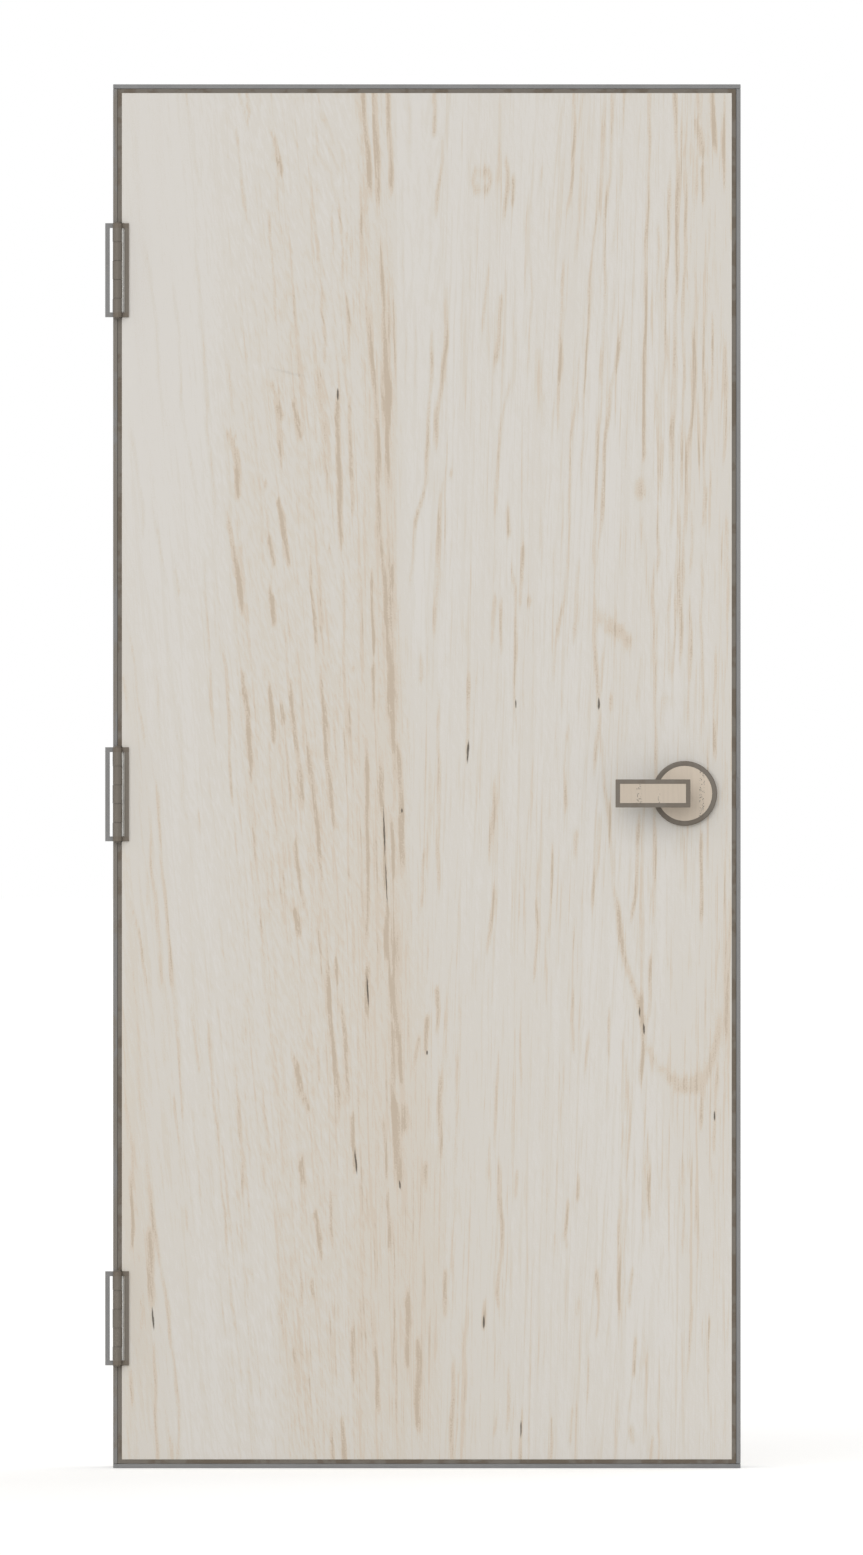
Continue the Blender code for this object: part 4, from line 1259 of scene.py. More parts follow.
# Left of the band, short leaning strokes
BESIDE_BAND = (
    Streak(((284, 540), (289, 568)), 0.72, 3.0),
    Streak(((269, 588), (275, 626)), 0.84, 3.6),
    Streak(((202, 540), (206, 609), (209, 669), (215, 760)), 0.42, 3.0),
    Streak(((173, 560), (180, 603)), 0.5),
    Streak(((224, 638), (227, 690), (229, 732), (231, 812)), 0.6, 2.6),
    Streak(((241, 664), (247, 708), (250, 760), (251, 786)), 0.82, 3.0),
    Streak(((268, 682), (271, 708), (274, 748)), 0.76, 3.0),
    Streak(((280, 704), (286, 729)), 0.82, 3.4),
    Streak(((290, 670), (294, 732), (300, 772), (304, 818)), 0.76, 3.0),
    Streak(((307, 733), (311, 780), (319, 834), (322, 890)), 0.66, 3.0),
    Streak(((309, 559), (314, 615), (316, 640), (319, 660)), 0.6),
    Streak(((319, 655), (322, 696), (328, 768), (335, 840)), 0.74, 2.8),
    Streak(((343, 540), (344, 620), (345, 690)), 0.42),
    Streak(((295, 834), (296.5, 866), (302, 894), (308, 920)), 0.66, 3.0),
    Streak(((293, 904), (301, 941)), 0.8, 3.6),
    Streak(((197, 808), (200, 850)), 0.42),
    Streak(((127, 625), (134, 666), (139, 708), (145, 758)), 0.44),
    Streak(((122, 672), (127, 714)), 0.44),
    Streak(((149, 744), (157, 798), (161, 864), (170, 960), (174, 1020)), 0.48, 3.0),
    Streak(((149, 810), (151, 870), (157, 918), (164, 1008)), 0.46),
    Streak(((128, 891), (140, 945), (149, 1008)), 0.46),
    Streak(((334, 955), (338, 986)), 0.66),
    Streak(((326, 957), (329, 1008), (333, 1045), (338, 1081), (338, 1132)), 0.7, 3.2),
    Streak(((342, 994), (345, 1051), (350, 1108)), 0.58, 3.0),
    Streak(((351, 1108), (354, 1150), (356, 1176)), 0.74, 3.0),
    Streak(((367, 960), (368, 1022)), 0.62, 3.2),
    Streak(((293, 1055), (302, 1090), (310, 1114)), 0.8, 3.4),
    Streak(((299, 1159), (306, 1190)), 0.66, 3.0),
    Streak(((313, 1207), (319, 1238), (322, 1260)), 0.8, 3.6),
    Streak(((310, 1274), (313, 1300)), 0.74, 3.0),
    Streak(((330, 1180), (332, 1254)), 0.52),
)

# Lower left
LOWER_LEFT = (
    Streak(((235, 1073), (239, 1112), (242, 1161), (243, 1205)), 0.56, 3.0),
    Streak(((205, 1005), (208, 1040), (212, 1090), (217, 1134), (220, 1165)), 0.46),
    Streak(((219, 1160), (223, 1207), (227, 1250), (232, 1310), (238, 1358)), 0.46),
    Streak(((172, 980), (177, 1042), (182, 1103), (183, 1128)), 0.42),
    Streak(((189, 1000), (194, 1035), (198, 1069), (201, 1080)), 0.46),
    Streak(((223, 1389), (227, 1410)), 0.42),
    Streak(((317, 1041), (320, 1088)), 0.5),
    Streak(((383, 1112), (386, 1152), (388, 1185)), 0.5),
    Streak(((294, 1410), (295, 1435)), 0.4),
    Streak(((173, 1092), (178, 1150)), 0.42),
    Streak(((185, 1200), (187, 1236)), 0.42),
    Streak(
        ((145, 1140), (150, 1203), (158, 1252), (167, 1310), (173, 1356), (178, 1411), (178, 1462)),
        0.52, 3.0,
    ),
    Streak(((130, 1170), (132, 1222), (130, 1254)), 0.56),
    Streak(((148, 1222), (150, 1264), (152, 1312)), 0.72, 5.0),
    Streak(((153, 1330), (155, 1417), (157, 1462)), 0.52),
    Streak(((168, 1430), (172, 1462)), 0.56),
    Streak(((351, 1322), (354, 1388)), 0.64, 2.8),
    Streak(((374, 1338), (380, 1420)), 0.62, 3.0),
    Streak(((342, 1415), (345, 1462)), 0.7, 3.4),
    Streak(((330, 1415), (333, 1462)), 0.6),
    Streak(((130, 1366), (132, 1410)), 0.46),
)

# Upper middle
UPPER_MIDDLE = (
    Streak(((434.5, 95), (434.5, 141)), 0.8, 3.2),
    Streak(((443, 130), (443, 161), (437, 191), (437, 226)), 0.62, 3.0),
    Streak(((409, 100), (410, 178)), 0.3, 4.0),
    Streak(((506, 150), (508, 185), (504, 226)), 0.7, 3.4),
    Streak(((514, 171), (513, 211)), 0.68, 3.4),
    Streak(((575, 92), (576, 140), (572, 182), (567, 223)), 0.52, 3.0),
    Streak(((565, 245), (563, 300), (560, 346), (559, 440)), 0.54, 2.8),
    Streak(
        ((605, 92), (602, 170), (596, 230), (590, 279), (587, 358), (584, 406), (582, 509), (578, 557)),
    ),
    Streak(((613, 92), (613, 146), (605, 224), (606, 315), (603, 368), (600, 430), (596, 505)), 0.56, 2.8),
    Streak(((625, 92), (623, 143), (620, 196), (614, 248), (611, 272)), 0.4, 3.0),
    Streak(((447, 282), (446, 345), (443, 382), (437, 412), (435, 459)), 0.8, 3.6),
    Streak(((432, 318), (432, 358), (428, 439), (426, 482), (417, 518), (412, 560)), 0.8, 3.0),
    Streak(((446, 462), (440, 518), (437, 600), (434, 647)), 0.58, 3.6),
    Streak(((416, 511), (413, 549), (410, 600)), 0.44, 3.0),
    Streak(((502, 289), (500, 336), (494, 371)), 0.7, 3.4),
    Streak(((490, 257), (485, 309), (482, 347)), 0.46),
    Streak(((531, 230), (532, 297), (528, 388)), 0.38),
    Streak(((513, 371), (505, 403), (499, 454), (494, 526)), 0.55, 2.8),
    Streak(((508, 501), (510, 541)), 0.74, 3.4),
    Streak(((546, 386), (544, 435)), 0.44),
    Streak(((581, 362), (576, 400), (571, 442), (570, 500), (569, 560), (566, 600)), 0.5),
    Streak(((430, 165), (429, 194)), 0.34, 3.0),
    Streak(((543.5, 162), (537, 204)), 0.34),
    Streak(((542, 449), (542, 578)), 0.3),
)

# Lower middle
LOWER_MIDDLE = (
    Streak(((495, 589), (493, 653)), 0.5, 4.0),
    Streak(((502, 595), (502, 659)), 0.64),
    Streak(((511, 556), (516, 591), (515, 708), (517, 734)), 0.66, 2.8),
    Streak(((523, 540), (523, 579), (520, 614)), 0.68, 3.0),
    Streak(((469, 667), (468, 726), (468, 766)), 0.68, 3.2),
    Streak(((568, 560), (565, 598), (560, 622), (556, 642), (554, 690)), 0.5, 3.0),
    Streak(((579, 554), (578, 600), (573, 651)), 0.62, 3.4),
    Streak(((578, 826), (575, 860)), 0.8, 2.8),
    Streak(((496, 766), (493, 822), (489, 872)), 0.62, 3.2),
    Streak(((495, 877), (493, 909), (486, 962)), 0.6, 3.4),
    Streak(((537, 892), (537, 939), (534, 990)), 0.56),
    Streak(((553, 832), (552, 879), (549, 947)), 0.48),
    Streak(((439, 682), (439, 774), (438, 920)), 0.56, 3.2),
    Streak(((421, 648), (421, 686)), 0.48, 4.0),
    Streak(((571, 718), (564, 765), (567, 818)), 0.5),
    Streak(((437, 984), (439, 1014), (435, 1035)), 0.76, 3.4),
    Streak(((428, 1012), (426, 1056)), 0.74, 3.2),
    Streak(((425, 842), (423, 890), (419, 917)), 0.44, 3.0),
    Streak(((420, 1033), (416, 1055), (413, 1074)), 0.5, 3.0),
    Streak(((443, 1061), (440, 1097), (440, 1163)), 0.6, 3.2),
    Streak(((426, 1159), (426, 1190)), 0.56, 4.0),
    Streak(((498, 1037), (497, 1087), (495, 1163)), 0.52),
    Streak(((522, 997), (521, 1069), (521, 1102)), 0.46),
    Streak(((574, 985), (574, 1030), (573, 1059)), 0.56),
    Streak(((590, 1028), (585, 1083)), 0.54),
    Streak(((500, 1153), (500, 1197), (503, 1222), (498, 1295), (501, 1321)), 0.7, 3.0),
    Streak(((518, 1165), (516, 1202)), 0.7, 3.0),
    Streak(((570, 1195), (565, 1234), (568, 1251)), 0.7, 2.8),
    Streak(((556, 1226), (555, 1260)), 0.44),
    Streak(((579, 1171), (578, 1205)), 0.54, 3.0),
    Streak(((597, 1262), (599, 1298), (597, 1346)), 0.6),
    Streak(((579, 1293), (577, 1324)), 0.6, 3.0),
    Streak(((446, 1268), (444, 1321)), 0.7, 3.2),
    Streak(((484.5, 1299), (484, 1332)), 0.76, 3.0),
    Streak(((408, 1287), (407, 1334), (408, 1373)), 0.66, 3.6),
    Streak(((418, 1332), (418, 1417), (420, 1440)), 0.8, 4.2),
    Streak(((454, 1354), (452, 1417), (452, 1462)), 0.66, 3.4),
    Streak(((522, 1406), (521, 1462)), 0.66),
    Streak(((590, 1354), (588, 1407)), 0.54),
    Streak(((574, 1400), (570, 1449)), 0.56, 3.0),
    Streak(((552, 1412), (551, 1462)), 0.54, 3.0),
    Streak(((510, 1354), (507, 1443)), 0.5, 3.2),
    Streak(((497, 1406), (495, 1440)), 0.56),
)

# Upper right, where the lines stand closest
UPPER_RIGHT = (
    Streak(((649, 92), (651, 146), (647, 242), (646, 346), (645, 420), (645, 472)), 0.62, 2.8),
    Streak(((645, 400), (645, 466)), 0.7, 3.0),
    Streak(((659, 214), (659, 260), (658, 316)), 0.42, 2.8),
    Streak(((672, 412), (671, 457), (670, 501)), 0.48),
    Streak(((664, 431), (663, 470), (660, 505)), 0.42),
    Streak(((701, 88), (701, 120)), 0.46, 3.0),
    Streak(((698, 148), (698, 205)), 0.54, 2.6),
    Streak(((703, 160), (705, 210)), 0.52, 2.8),
    Streak(((676, 92), (678, 155), (678, 255), (676, 351), (675, 418), (672, 557)), 0.7, 2.8),
    Streak(((672, 153), (670, 221), (667, 279), (666, 390)), 0.66),
    Streak(((690, 150), (687, 212), (684, 327), (685, 388), (682, 479), (679, 541)), 0.6),
    Streak(((697, 118), (700, 135), (704, 160)), 0.58, 5.0),
    Streak(((712, 90), (715, 125), (717, 157)), 0.8, 3.4),
    Streak(((726, 101), (725, 202)), 0.48, 3.0),
    Streak(((694, 301), (697, 376), (688, 464), (684, 557)), 0.52, 3.0),
    Streak(((714, 304), (714, 370), (709, 420)), 0.42),
    Streak(((706, 356), (706, 433), (705, 532)), 0.46),
    Streak(((724, 324), (727, 352), (728, 400), (724, 483)), 0.46, 3.0),
    Streak(((625, 307), (619, 358), (611, 391), (606, 448), (602, 521), (598, 560)), 0.74, 3.0),
    Streak(((621, 342), (617, 362)), 0.8, 3.8),
    Streak(((613, 380), (609, 400)), 0.8, 3.8),
    Streak(((600, 400), (598, 440), (596, 511), (595, 586)), 0.56),
    Streak(((643, 516), (642, 552)), 0.42),
    Streak(((660, 500), (658, 530), (660, 552), (656, 582)), 0.5, 2.8),
    Streak(((708, 482), (705, 513), (705, 531)), 0.64, 2.8),
)

# Lower right, with the long V and the arch below it
LOWER_RIGHT = (
    Streak(((595, 583), (595, 618), (597, 666), (600, 720), (594, 788)), 0.72, 3.2),
    Streak(((604, 646), (601, 698)), 0.56),
    Streak(((600, 720), (605, 777), (613, 857), (614, 892)), 0.58, 3.2),
    Streak(((613, 872), (620, 924), (624, 956), (632, 978), (640, 1000), (643, 1022), (648, 1050)), 0.8, 4.4),
    Streak(((640, 808), (639, 855), (636, 897), (630, 929)), 0.8, 2.8),
    Streak(((600, 808), (598, 858), (592, 920)), 0.58, 2.8),
    Streak(((654, 540), (655, 660), (657, 732), (655, 932)), 0.56, 2.8),
    Streak(((672, 568), (670, 609), (670, 686)), 0.56),
    Streak(((682, 556), (682, 640), (682, 680)), 0.64),
    Streak(((692, 586), (691, 610), (692, 642), (690, 690), (689, 734)), 0.6),
    Streak(((642, 650), (639, 690), (639, 712)), 0.4),
    Streak(((612, 690), (611, 714)), 0.5, 3.6),
    Streak(((703, 538), (703, 752)), 0.48),
    Streak(((717, 634), (715, 744), (718, 770)), 0.52),
    Streak(((702, 826), (703, 870), (702, 929)), 0.78, 2.6),
    Streak(((652, 949), (650, 1008), (647, 1032)), 0.66, 3.0),
    Streak(((610, 1006), (610, 1062)), 0.64, 2.8),
    Streak(((628, 1049), (625, 1120)), 0.5),
    Streak(((640, 988), (645, 1045), (641, 1090)), 0.76, 3.6),
    Streak(((646, 1038), (651, 1054), (658, 1063), (670, 1080)), 0.56, 7.0),
    Streak(((722, 1006), (719, 1036), (714, 1060), (704, 1084)), 0.5, 6.0),
    Streak(((676, 1066), (676, 1094)), 0.6, 2.8),
    Streak(((687, 1072), (687, 1096)), 0.64, 2.8),
    Streak(((696, 1070), (697, 1098)), 0.56, 2.8),
    Streak(((676, 588), (676, 640), (672, 686)), 0.5),
    Streak(((680, 498), (681, 600), (681, 668)), 0.58, 2.8),
    Streak(((685, 508), (684, 560), (684, 618)), 0.52),
    Streak(((693, 500), (692, 582)), 0.46, 2.8),
    Streak(((728, 500), (729, 640)), 0.42, 3.0),
    Streak(((704, 1073), (702, 1132)), 0.66, 3.2),
    Streak(((718, 1061), (715, 1160)), 0.56),
    Streak(((649, 1125), (649, 1185), (651, 1230)), 0.6),
    Streak(((622, 1159), (620, 1252), (620, 1330)), 0.52, 2.8),
    Streak(((634, 1262), (629, 1312)), 0.54, 3.0),
    Streak(((637, 1332), (634, 1379)), 0.62, 3.0),
    Streak(((632, 1421), (634, 1447)), 0.74, 4.0),
    Streak(((654, 1433), (652, 1462)), 0.64, 3.0),
    Streak(((710, 1311), (710, 1382)), 0.48),
    Streak(((695, 1293), (687, 1388)), 0.46),
    Streak(((684, 1146), (684, 1266)), 0.42),
    Streak(((669, 688), (660, 722)), 0.4, 8.0),
)

STREAKS = (
    *UPPER_LEFT, *TAN_BAND, *BESIDE_BAND, *LOWER_LEFT, *UPPER_MIDDLE, *LOWER_MIDDLE, *UPPER_RIGHT,
    *LOWER_RIGHT,
)


@dataclass(frozen=True)
class Knot:
    """A small knot or a patch of colour, in drawing units."""

    across: float
    down: float
    half_width: float
    half_height: float
    depth: float
    ring: bool = False


KNOTS = (
    Knot(482, 181, 11, 17, 0.5, True),
    Knot(485, 172, 3, 4, 0.5),
    Knot(488, 194, 2.5, 3, 0.7),
    Knot(641, 490, 6, 11, 0.75),
    Knot(530, 599, 3, 5, 0.6),
    Knot(451, 475, 2, 3, 0.6),
    Knot(447, 657, 2.5, 3, 0.55),
    Knot(697, 1152, 2, 3, 0.6),
    Knot(353, 667, 2.5, 3, 0.55),
    Knot(595, 586, 3, 4, 0.8),
    Knot(601, 617, 8, 7, 0.56),
    Knot(611, 626, 9, 7, 0.6),
    Knot(620, 633, 8, 8, 0.66),
    Knot(628, 642, 6, 9, 0.64),
    Knot(662, 1070, 9, 8, 0.4),
    Knot(673, 1080, 9, 8, 0.46),
    Knot(684, 1085, 11, 8, 0.54),
    Knot(695, 1085, 9, 9, 0.54),
    Knot(704, 1077, 7, 10, 0.46),
)


@dataclass(frozen=True)
class Patch:
    """A soft patch of warmer or paler wood, in drawing units."""

    across: float
    down: float
    half_width: float
    half_height: float
    strength: float


PATCHES = (
    Patch(315, 300, 70, 260, 0.3),
    Patch(320, 760, 88, 330, 0.62),
    Patch(330, 1260, 95, 330, 0.66),
    Patch(384, 650, 26, 700, 0.5),
    Patch(398, 1040, 28, 260, 0.35),
    Patch(252, 520, 42, 250, 0.3),
    Patch(136, 1240, 34, 330, 0.66),
    Patch(128, 1000, 14, 500, 0.3),
    Patch(440, 1290, 60, 260, 0.5),
    Patch(500, 520, 40, 420, 0.1),
    Patch(600, 640, 40, 90, 0.16),
    Patch(702, 300, 34, 330, 0.24),
    Patch(690, 1060, 50, 120, 0.34),
    Patch(725, 900, 18, 620, 0.3),
    Patch(700, 140, 26, 60, 0.2),
)
# Clear wood at the top left, with hardly any figure
CLEAR_WOOD = Patch(150, 270, 70, 320, -0.34)


@dataclass
class VeneerSheet:
    """One face of the leaf: a fine grid that holds the figure, cut round hinges and lock."""

    side: Side
    columns: int = 600
    rows: int = 140
    arris: float = 0.0004
    hinge_metal: float = 0.0022
    fit: float = 0.0003
    bore_radius: float = 0.027
    bore_sides: int = 56
    slack: float = 1e-5

    @property
    def node(self) -> str:
        """The CAD node that the sheet stands for."""
        return "front_face" if self.side is Side.FRONT else "back_face"

    def build(self) -> bpy.types.Object:
        """Model the sheet.

        Returns:
            The finished mesh object.
        """
        low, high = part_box(self.node)
        depth = high.y - low.y
        slope = depth * math.tan(BEVEL)
        outer_y = low.y if self.side is Side.FRONT else high.y
        outer_right = high.x if self.side is Side.FRONT else high.x - slope
        Bench.clear()
        bpy.ops.mesh.primitive_grid_add(
            x_subdivisions=self.columns, y_subdivisions=self.rows, size=1.0,
            location=((outer_right + low.x) / 2, outer_y, (high.z + low.z) / 2),
            rotation=(-self.side.value * math.pi / 2, 0.0, 0.0),
        )
        sheet = bpy.context.object
        sheet.name = f"{self.side.name.lower()}_veneer"
        sheet.scale = (outer_right - low.x, high.z - low.z, 1.0)
        Bench.settle(sheet)
        self._give_thickness(sheet, depth, slope)
        self._cut_seats(sheet)
        Figure(sheet, self.side).store()
        return sheet

    def _give_thickness(self, sheet: bpy.types.Object, depth: float, slope: float) -> None:
        """Fold the grid's rim back, close it behind and take the arris off.

        Args:
            sheet: the grid.
            depth: the sheet's thickness.
            slope: how much the latch edge leans over that thickness.
        """
        points = [vertex.co for vertex in sheet.data.vertices]
        outer_y = points[0].y
        inner_y = outer_y - self.side.value * depth
        right = max(point.x for point in points)
        borders = [
            (axis, limit)
            for axis in (0, 2)
            for limit in (min(point[axis] for point in points), max(point[axis] for point in points))
        ]

        def lies_at(first: Vector, second: Vector, axis: int, limit: float) -> bool:
            """True for an edge with both ends at a limit along an axis."""
            return abs(first[axis] - limit) < self.slack and abs(second[axis] - limit) < self.slack

        def on_rim(first: Vector, second: Vector) -> bool:
            """True for an edge on the grid's border."""
            return any(lies_at(first, second, axis, limit) for axis, limit in borders)

        def on_latch_corner(first: Vector, second: Vector) -> bool:
            """True for the inner corner of the latch edge."""
            return lies_at(first, second, 1, inner_y) and lies_at(first, second, 0, right)

        def on_arris(first: Vector, second: Vector) -> bool:
            """True for a corner between the face and the folded rim."""
            return lies_at(first, second, 1, outer_y) and on_rim(first, second)

        Bench.edit_edges(sheet, on_rim)
        bpy.ops.mesh.extrude_edges_move(TRANSFORM_OT_translate={"value": (0.0, inner_y - outer_y, 0.0)})
        bpy.ops.mesh.edge_face_add()
        bpy.ops.mesh.select_all(action="SELECT")
        bpy.ops.mesh.normals_make_consistent(inside=False)
        Bench.edit_edges(sheet, on_latch_corner)
        bpy.ops.transform.translate(value=(self.side.value * slope, 0.0, 0.0))
        Bench.edit_edges(sheet, on_arris)
        bpy.ops.mesh.bevel(offset=self.arris, segments=1, affect="EDGES")
        Bench.done()

    def _cut_seats(self, sheet: bpy.types.Object) -> None:
        """Cut the lock's bore, and on the front the hinges' seats.

        Args:
            sheet: the sheet.
        """
        low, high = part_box(self.node)
        rose_low, rose_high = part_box("front_rose_ring")
        centre = (rose_low + rose_high) / 2
        over = self.hinge_metal
        ends = [(centre.x, y, centre.z) for y in (low.y - over, high.y + over)]
        tools = [Bench.rod("bore", self.bore_radius, *ends, self.bore_sides)]
        for place in HINGE_PLACES if self.side is Side.FRONT else ():
            plate_low, plate_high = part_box(f"{place}_hinge_door_plate")
            tools.append(
                Bench.block(
                    f"{place}_seat",
                    (low.x - over, low.y - over, plate_low.z - self.fit),
                    (low.x + self.hinge_metal + self.fit, high.y + over, plate_high.z + self.fit),
                )
            )
        Bench.carve(sheet, [Bench.join("seats", tools)])


class Figure:
    """The veneer's figure, worked out at each point of a sheet in drawing units."""

    # Lean of the grain, as units across for each unit down, by units across
    LEAN_AT = (116, 240, 320, 350, 400, 440, 520, 590, 660, 735)
    LEAN = (0.09, 0.09, 0.08, 0.04, 0.02, -0.03, -0.02, -0.05, -0.01, -0.01)
    # How closely lines stand, by units across
    LINES_AT = (116, 220, 300, 350, 400, 430, 560, 640, 735)
    LINES = (0.5, 0.65, 0.75, 0.9, 0.85, 0.95, 1.05, 1.25, 1.3)
    # Leaning flecks show most about a line left of the middle
    FLECKS_AT = 285
    FLECKS_REACH = 85
    FEWEST_FLECKS = 0.3
    # Warmth of wood with no patch, and how much figure the pale parts lose
    PLAIN_WARMTH = 0.12
    CLEAR_LOSS = 0.85
    STRIP_LOSS = 0.4
    # A pale strip beside the tan band: its sharp left edge, where it is gone on the right and below with
    # the units over which it fades there, and how much paler it is
    STRIP_LEFT = 396.5
    STRIP_RIGHT = (442, -18)
    STRIP_FOOT = (690, -90)
    STRIP_PALER = 0.36
    # Pale wood low on the left: its sharp right edge, where it starts on the left and above with the
    # units over which it grows there, and how much paler it is
    CLEARING_RIGHT = 275
    CLEARING_LEFT = (180, 20)
    CLEARING_TOP = (1150, 120)
    CLEARING_PALER = 0.22
    # Streaks that pass these heights run off the sheet with no taper
    TOP_LIMIT = 102
    BOTTOM_LIMIT = 1455
    # A streak's waves, each by its depth, its pitch and how its phase follows the streak's start
    WAVES = ((0.5, 17.0, 1.0), (0.35, 9.0, 2.0))
    # Shorter streaks than this wave less
    WAVY_LENGTH = 60.0
    # A taper takes a sixth of the length, and eight units at least
    TAPERS = 6.0
    STEEPEST = 0.125
    TAPER_CURVE = 0.7
    # How much its strength swells, at which pitch, and how the phase follows its start
    SWELL = 0.16
    SWELL_PITCH = 13.0
    SWELL_PHASE = 1.7
    # Half its width as a share of the written width, and what is left of that at its tips
    HALF_WIDTH = 0.78
    TIP_WIDTH = 0.7
    # How far a streak is worked out beyond its ends, in units, and beside it, in widths
    END_MARGIN = 2
    SIDE_MARGIN = 4
    # A knot's ring: where it lies in the knot's reach, half its width, its strength and the heart's
    RING_AT = 0.85
    RING_HALF = 0.22
    RING_DEPTH = 0.8
    RING_HEART = 0.42
    # Loose streaks: how many, between which limits, and how they stray from the lean of the grain
    LOOSE_STREAKS = 430
    LOOSE_SEEDS = {Side.FRONT: 7, Side.BACK: 19}
    LOOSE_ACROSS = (122, 734)
    LOOSE_DOWN = (70, 1445)
    LOOSE_LENGTH_ROOT = (5.0, 17.0)
    LOOSE_DEPTH = (0.12, 0.42)
    LOOSE_WIDTH = (1.6, 2.8)
    LOOSE_LEAN = 0.014
    LOOSE_SWAY = 1.0
    LOOSE_POINTS = (0.0, 0.33, 0.66, 1.0)
    # Their strength, which is less where the wood is lined or clear
    LOOSE_SHARE = 0.84
    LINED_FROM = 425
    LINED_SHARE = 0.7
    CLEAR_TO = 215
    CLEAR_FOOT = 700
    CLEAR_SHARE = 0.3

    def __init__(self, sheet: bpy.types.Object, side: Side) -> None:
        """Take the sheet's points as units across and down, the back one mirrored.

        Args:
            sheet: the finished sheet.
            side: the leaf's side that it covers.
        """
        points = np.empty(len(sheet.data.vertices) * 3)
        sheet.data.vertices.foreach_get("co", points)
        points = points.reshape(-1, 3)
        self.sheet = sheet
        self.side = side
        self.across = (points[:, 0] * -side.value - DRAWING.left) / DRAWING.across + DRAWING.left_unit
        self.down = DRAWING.base_unit - (points[:, 2] - DRAWING.base) / DRAWING.up

    def store(self) -> None:
        """Keep streaks, warmth, flecks, lines and the grain's drift as the sheet's attributes."""
        warmth, flecks, lines = self._shares()
        colours = np.stack([self._streaks(), warmth, flecks, lines], axis=1)
        stored = self.sheet.data.attributes.new("figure", "FLOAT_COLOR", "POINT")
        stored.data.foreach_set("color", colours.astype(np.float32).ravel())
        lean = np.interp(self.across, self.LEAN_AT, self.LEAN)
        drift = self.side.value * lean * (self.down - DRAWING.height / 2) * DRAWING.across
        kept = self.sheet.data.attributes.new("drift", "FLOAT", "POINT")
        kept.data.foreach_set("value", drift.astype(np.float32))

    def _line(self, points: tuple[tuple[float, float], ...], width: float, depth: float) -> np.ndarray:
        """Strength of one streak at every point.

        Args:
            points: the streak's points, top first.
            width: its width in drawing units.
            depth: its strength along the middle.

        Returns:
            The strength, from 0.
        """
        xs, ys = (np.array(part, float) for part in zip(*points))
        length = ys[-1] - ys[0]
        strength = np.zeros_like(self.across)
        off_top, off_bottom = ys[0] < self.TOP_LIMIT, ys[-1] > self.BOTTOM_LIMIT
        beside = self.SIDE_MARGIN * width
        near = (self.down > ys[0] - self.END_MARGIN) | off_top
        near &= (self.down < ys[-1] + self.END_MARGIN) | off_bottom
        near &= (self.across > xs.min() - beside) & (self.across < xs.max() + beside)
        y, x = self.down[near], self.across[near]
        wave = sum(size * np.sin(y / pitch + xs[0] * phase) for size, pitch, phase in self.WAVES)
        offset = x - np.interp(y, ys, xs) - wave * min(1.0, length / self.WAVY_LENGTH)
        steep = min(self.TAPERS / length, self.STEEPEST)
        rise = np.clip((y - ys[0]) * steep + off_top, 0.0, 1.0)
        fall = np.clip((ys[-1] - y) * steep + off_bottom, 0.0, 1.0)
        taper = np.minimum(rise, fall) ** self.TAPER_CURVE
        swell = 1.0 - self.SWELL + self.SWELL * np.sin(y / self.SWELL_PITCH + xs[0] * self.SWELL_PHASE)
        half = width * self.HALF_WIDTH * (self.TIP_WIDTH + (1.0 - self.TIP_WIDTH) * taper)
        strength[near] = depth * taper * swell * np.exp(-((offset / half) ** 2))
        return strength

    def _loose(self, random: np.random.Generator) -> np.ndarray:
        """Strength of one loose streak, which follows the lean of the grain.

        Args:
            random: where its place, size and sway come from.

        Returns:
            The strength at every point, from 0.
        """
        start_x, start_y = random.uniform(*self.LOOSE_ACROSS), random.uniform(*self.LOOSE_DOWN)
        length, depth = random.uniform(*self.LOOSE_LENGTH_ROOT) ** 2, random.uniform(*self.LOOSE_DEPTH)
        lean = float(np.interp(start_x, self.LEAN_AT, self.LEAN)) + random.normal(0, self.LOOSE_LEAN)
        points = tuple(
            (start_x + lean * length * part + random.normal(0, self.LOOSE_SWAY), start_y + length * part)
            for part in self.LOOSE_POINTS
        )
        share = self.LINED_SHARE if start_x > self.LINED_FROM else self.LOOSE_SHARE
        if start_x < self.CLEAR_TO and start_y + length / 2 < self.CLEAR_FOOT:
            share = self.CLEAR_SHARE
        return self._line(points, random.uniform(*self.LOOSE_WIDTH), depth * share)

    def _streaks(self) -> np.ndarray:
        """The listed streaks and knots, with looser streaks between them.

        Returns:
            The strength at every point, from 0.
        """
        figure = np.zeros_like(self.across)
        for streak in STREAKS:
            figure = np.maximum(figure, self._line(streak.points, streak.width, streak.depth))
        for knot in KNOTS:
            reach = np.hypot(
                (self.across - knot.across) / knot.half_width, (self.down - knot.down) / knot.half_height
            )
            shape = np.exp(-(reach**2))
            if knot.ring:
                ring = np.exp(-(((reach - self.RING_AT) / self.RING_HALF) ** 2))
                shape = self.RING_DEPTH * ring + self.RING_HEART * (reach < self.RING_AT)
            figure = np.maximum(figure, knot.depth * shape)
        random = np.random.default_rng(self.LOOSE_SEEDS[self.side])
        for _ in range(self.LOOSE_STREAKS):
            figure = np.maximum(figure, self._loose(random))
        return figure

    def _soft(self, patch: Patch) -> np.ndarray:
        """A share that falls off softly round a patch's middle.

        Args:
            patch: the patch.

        Returns:
            The share at every point.
        """
        reach = ((self.across - patch.across) / patch.half_width) ** 2
        reach += ((self.down - patch.down) / patch.half_height) ** 2
        return np.exp(-reach)

    @staticmethod
    def _grown(places: np.ndarray, start: float, span: float) -> np.ndarray:
        """A share that grows from 0 at a start to 1, over a span that is negative for backwards."""
        return np.clip((places - start) / span, 0.0, 1.0)

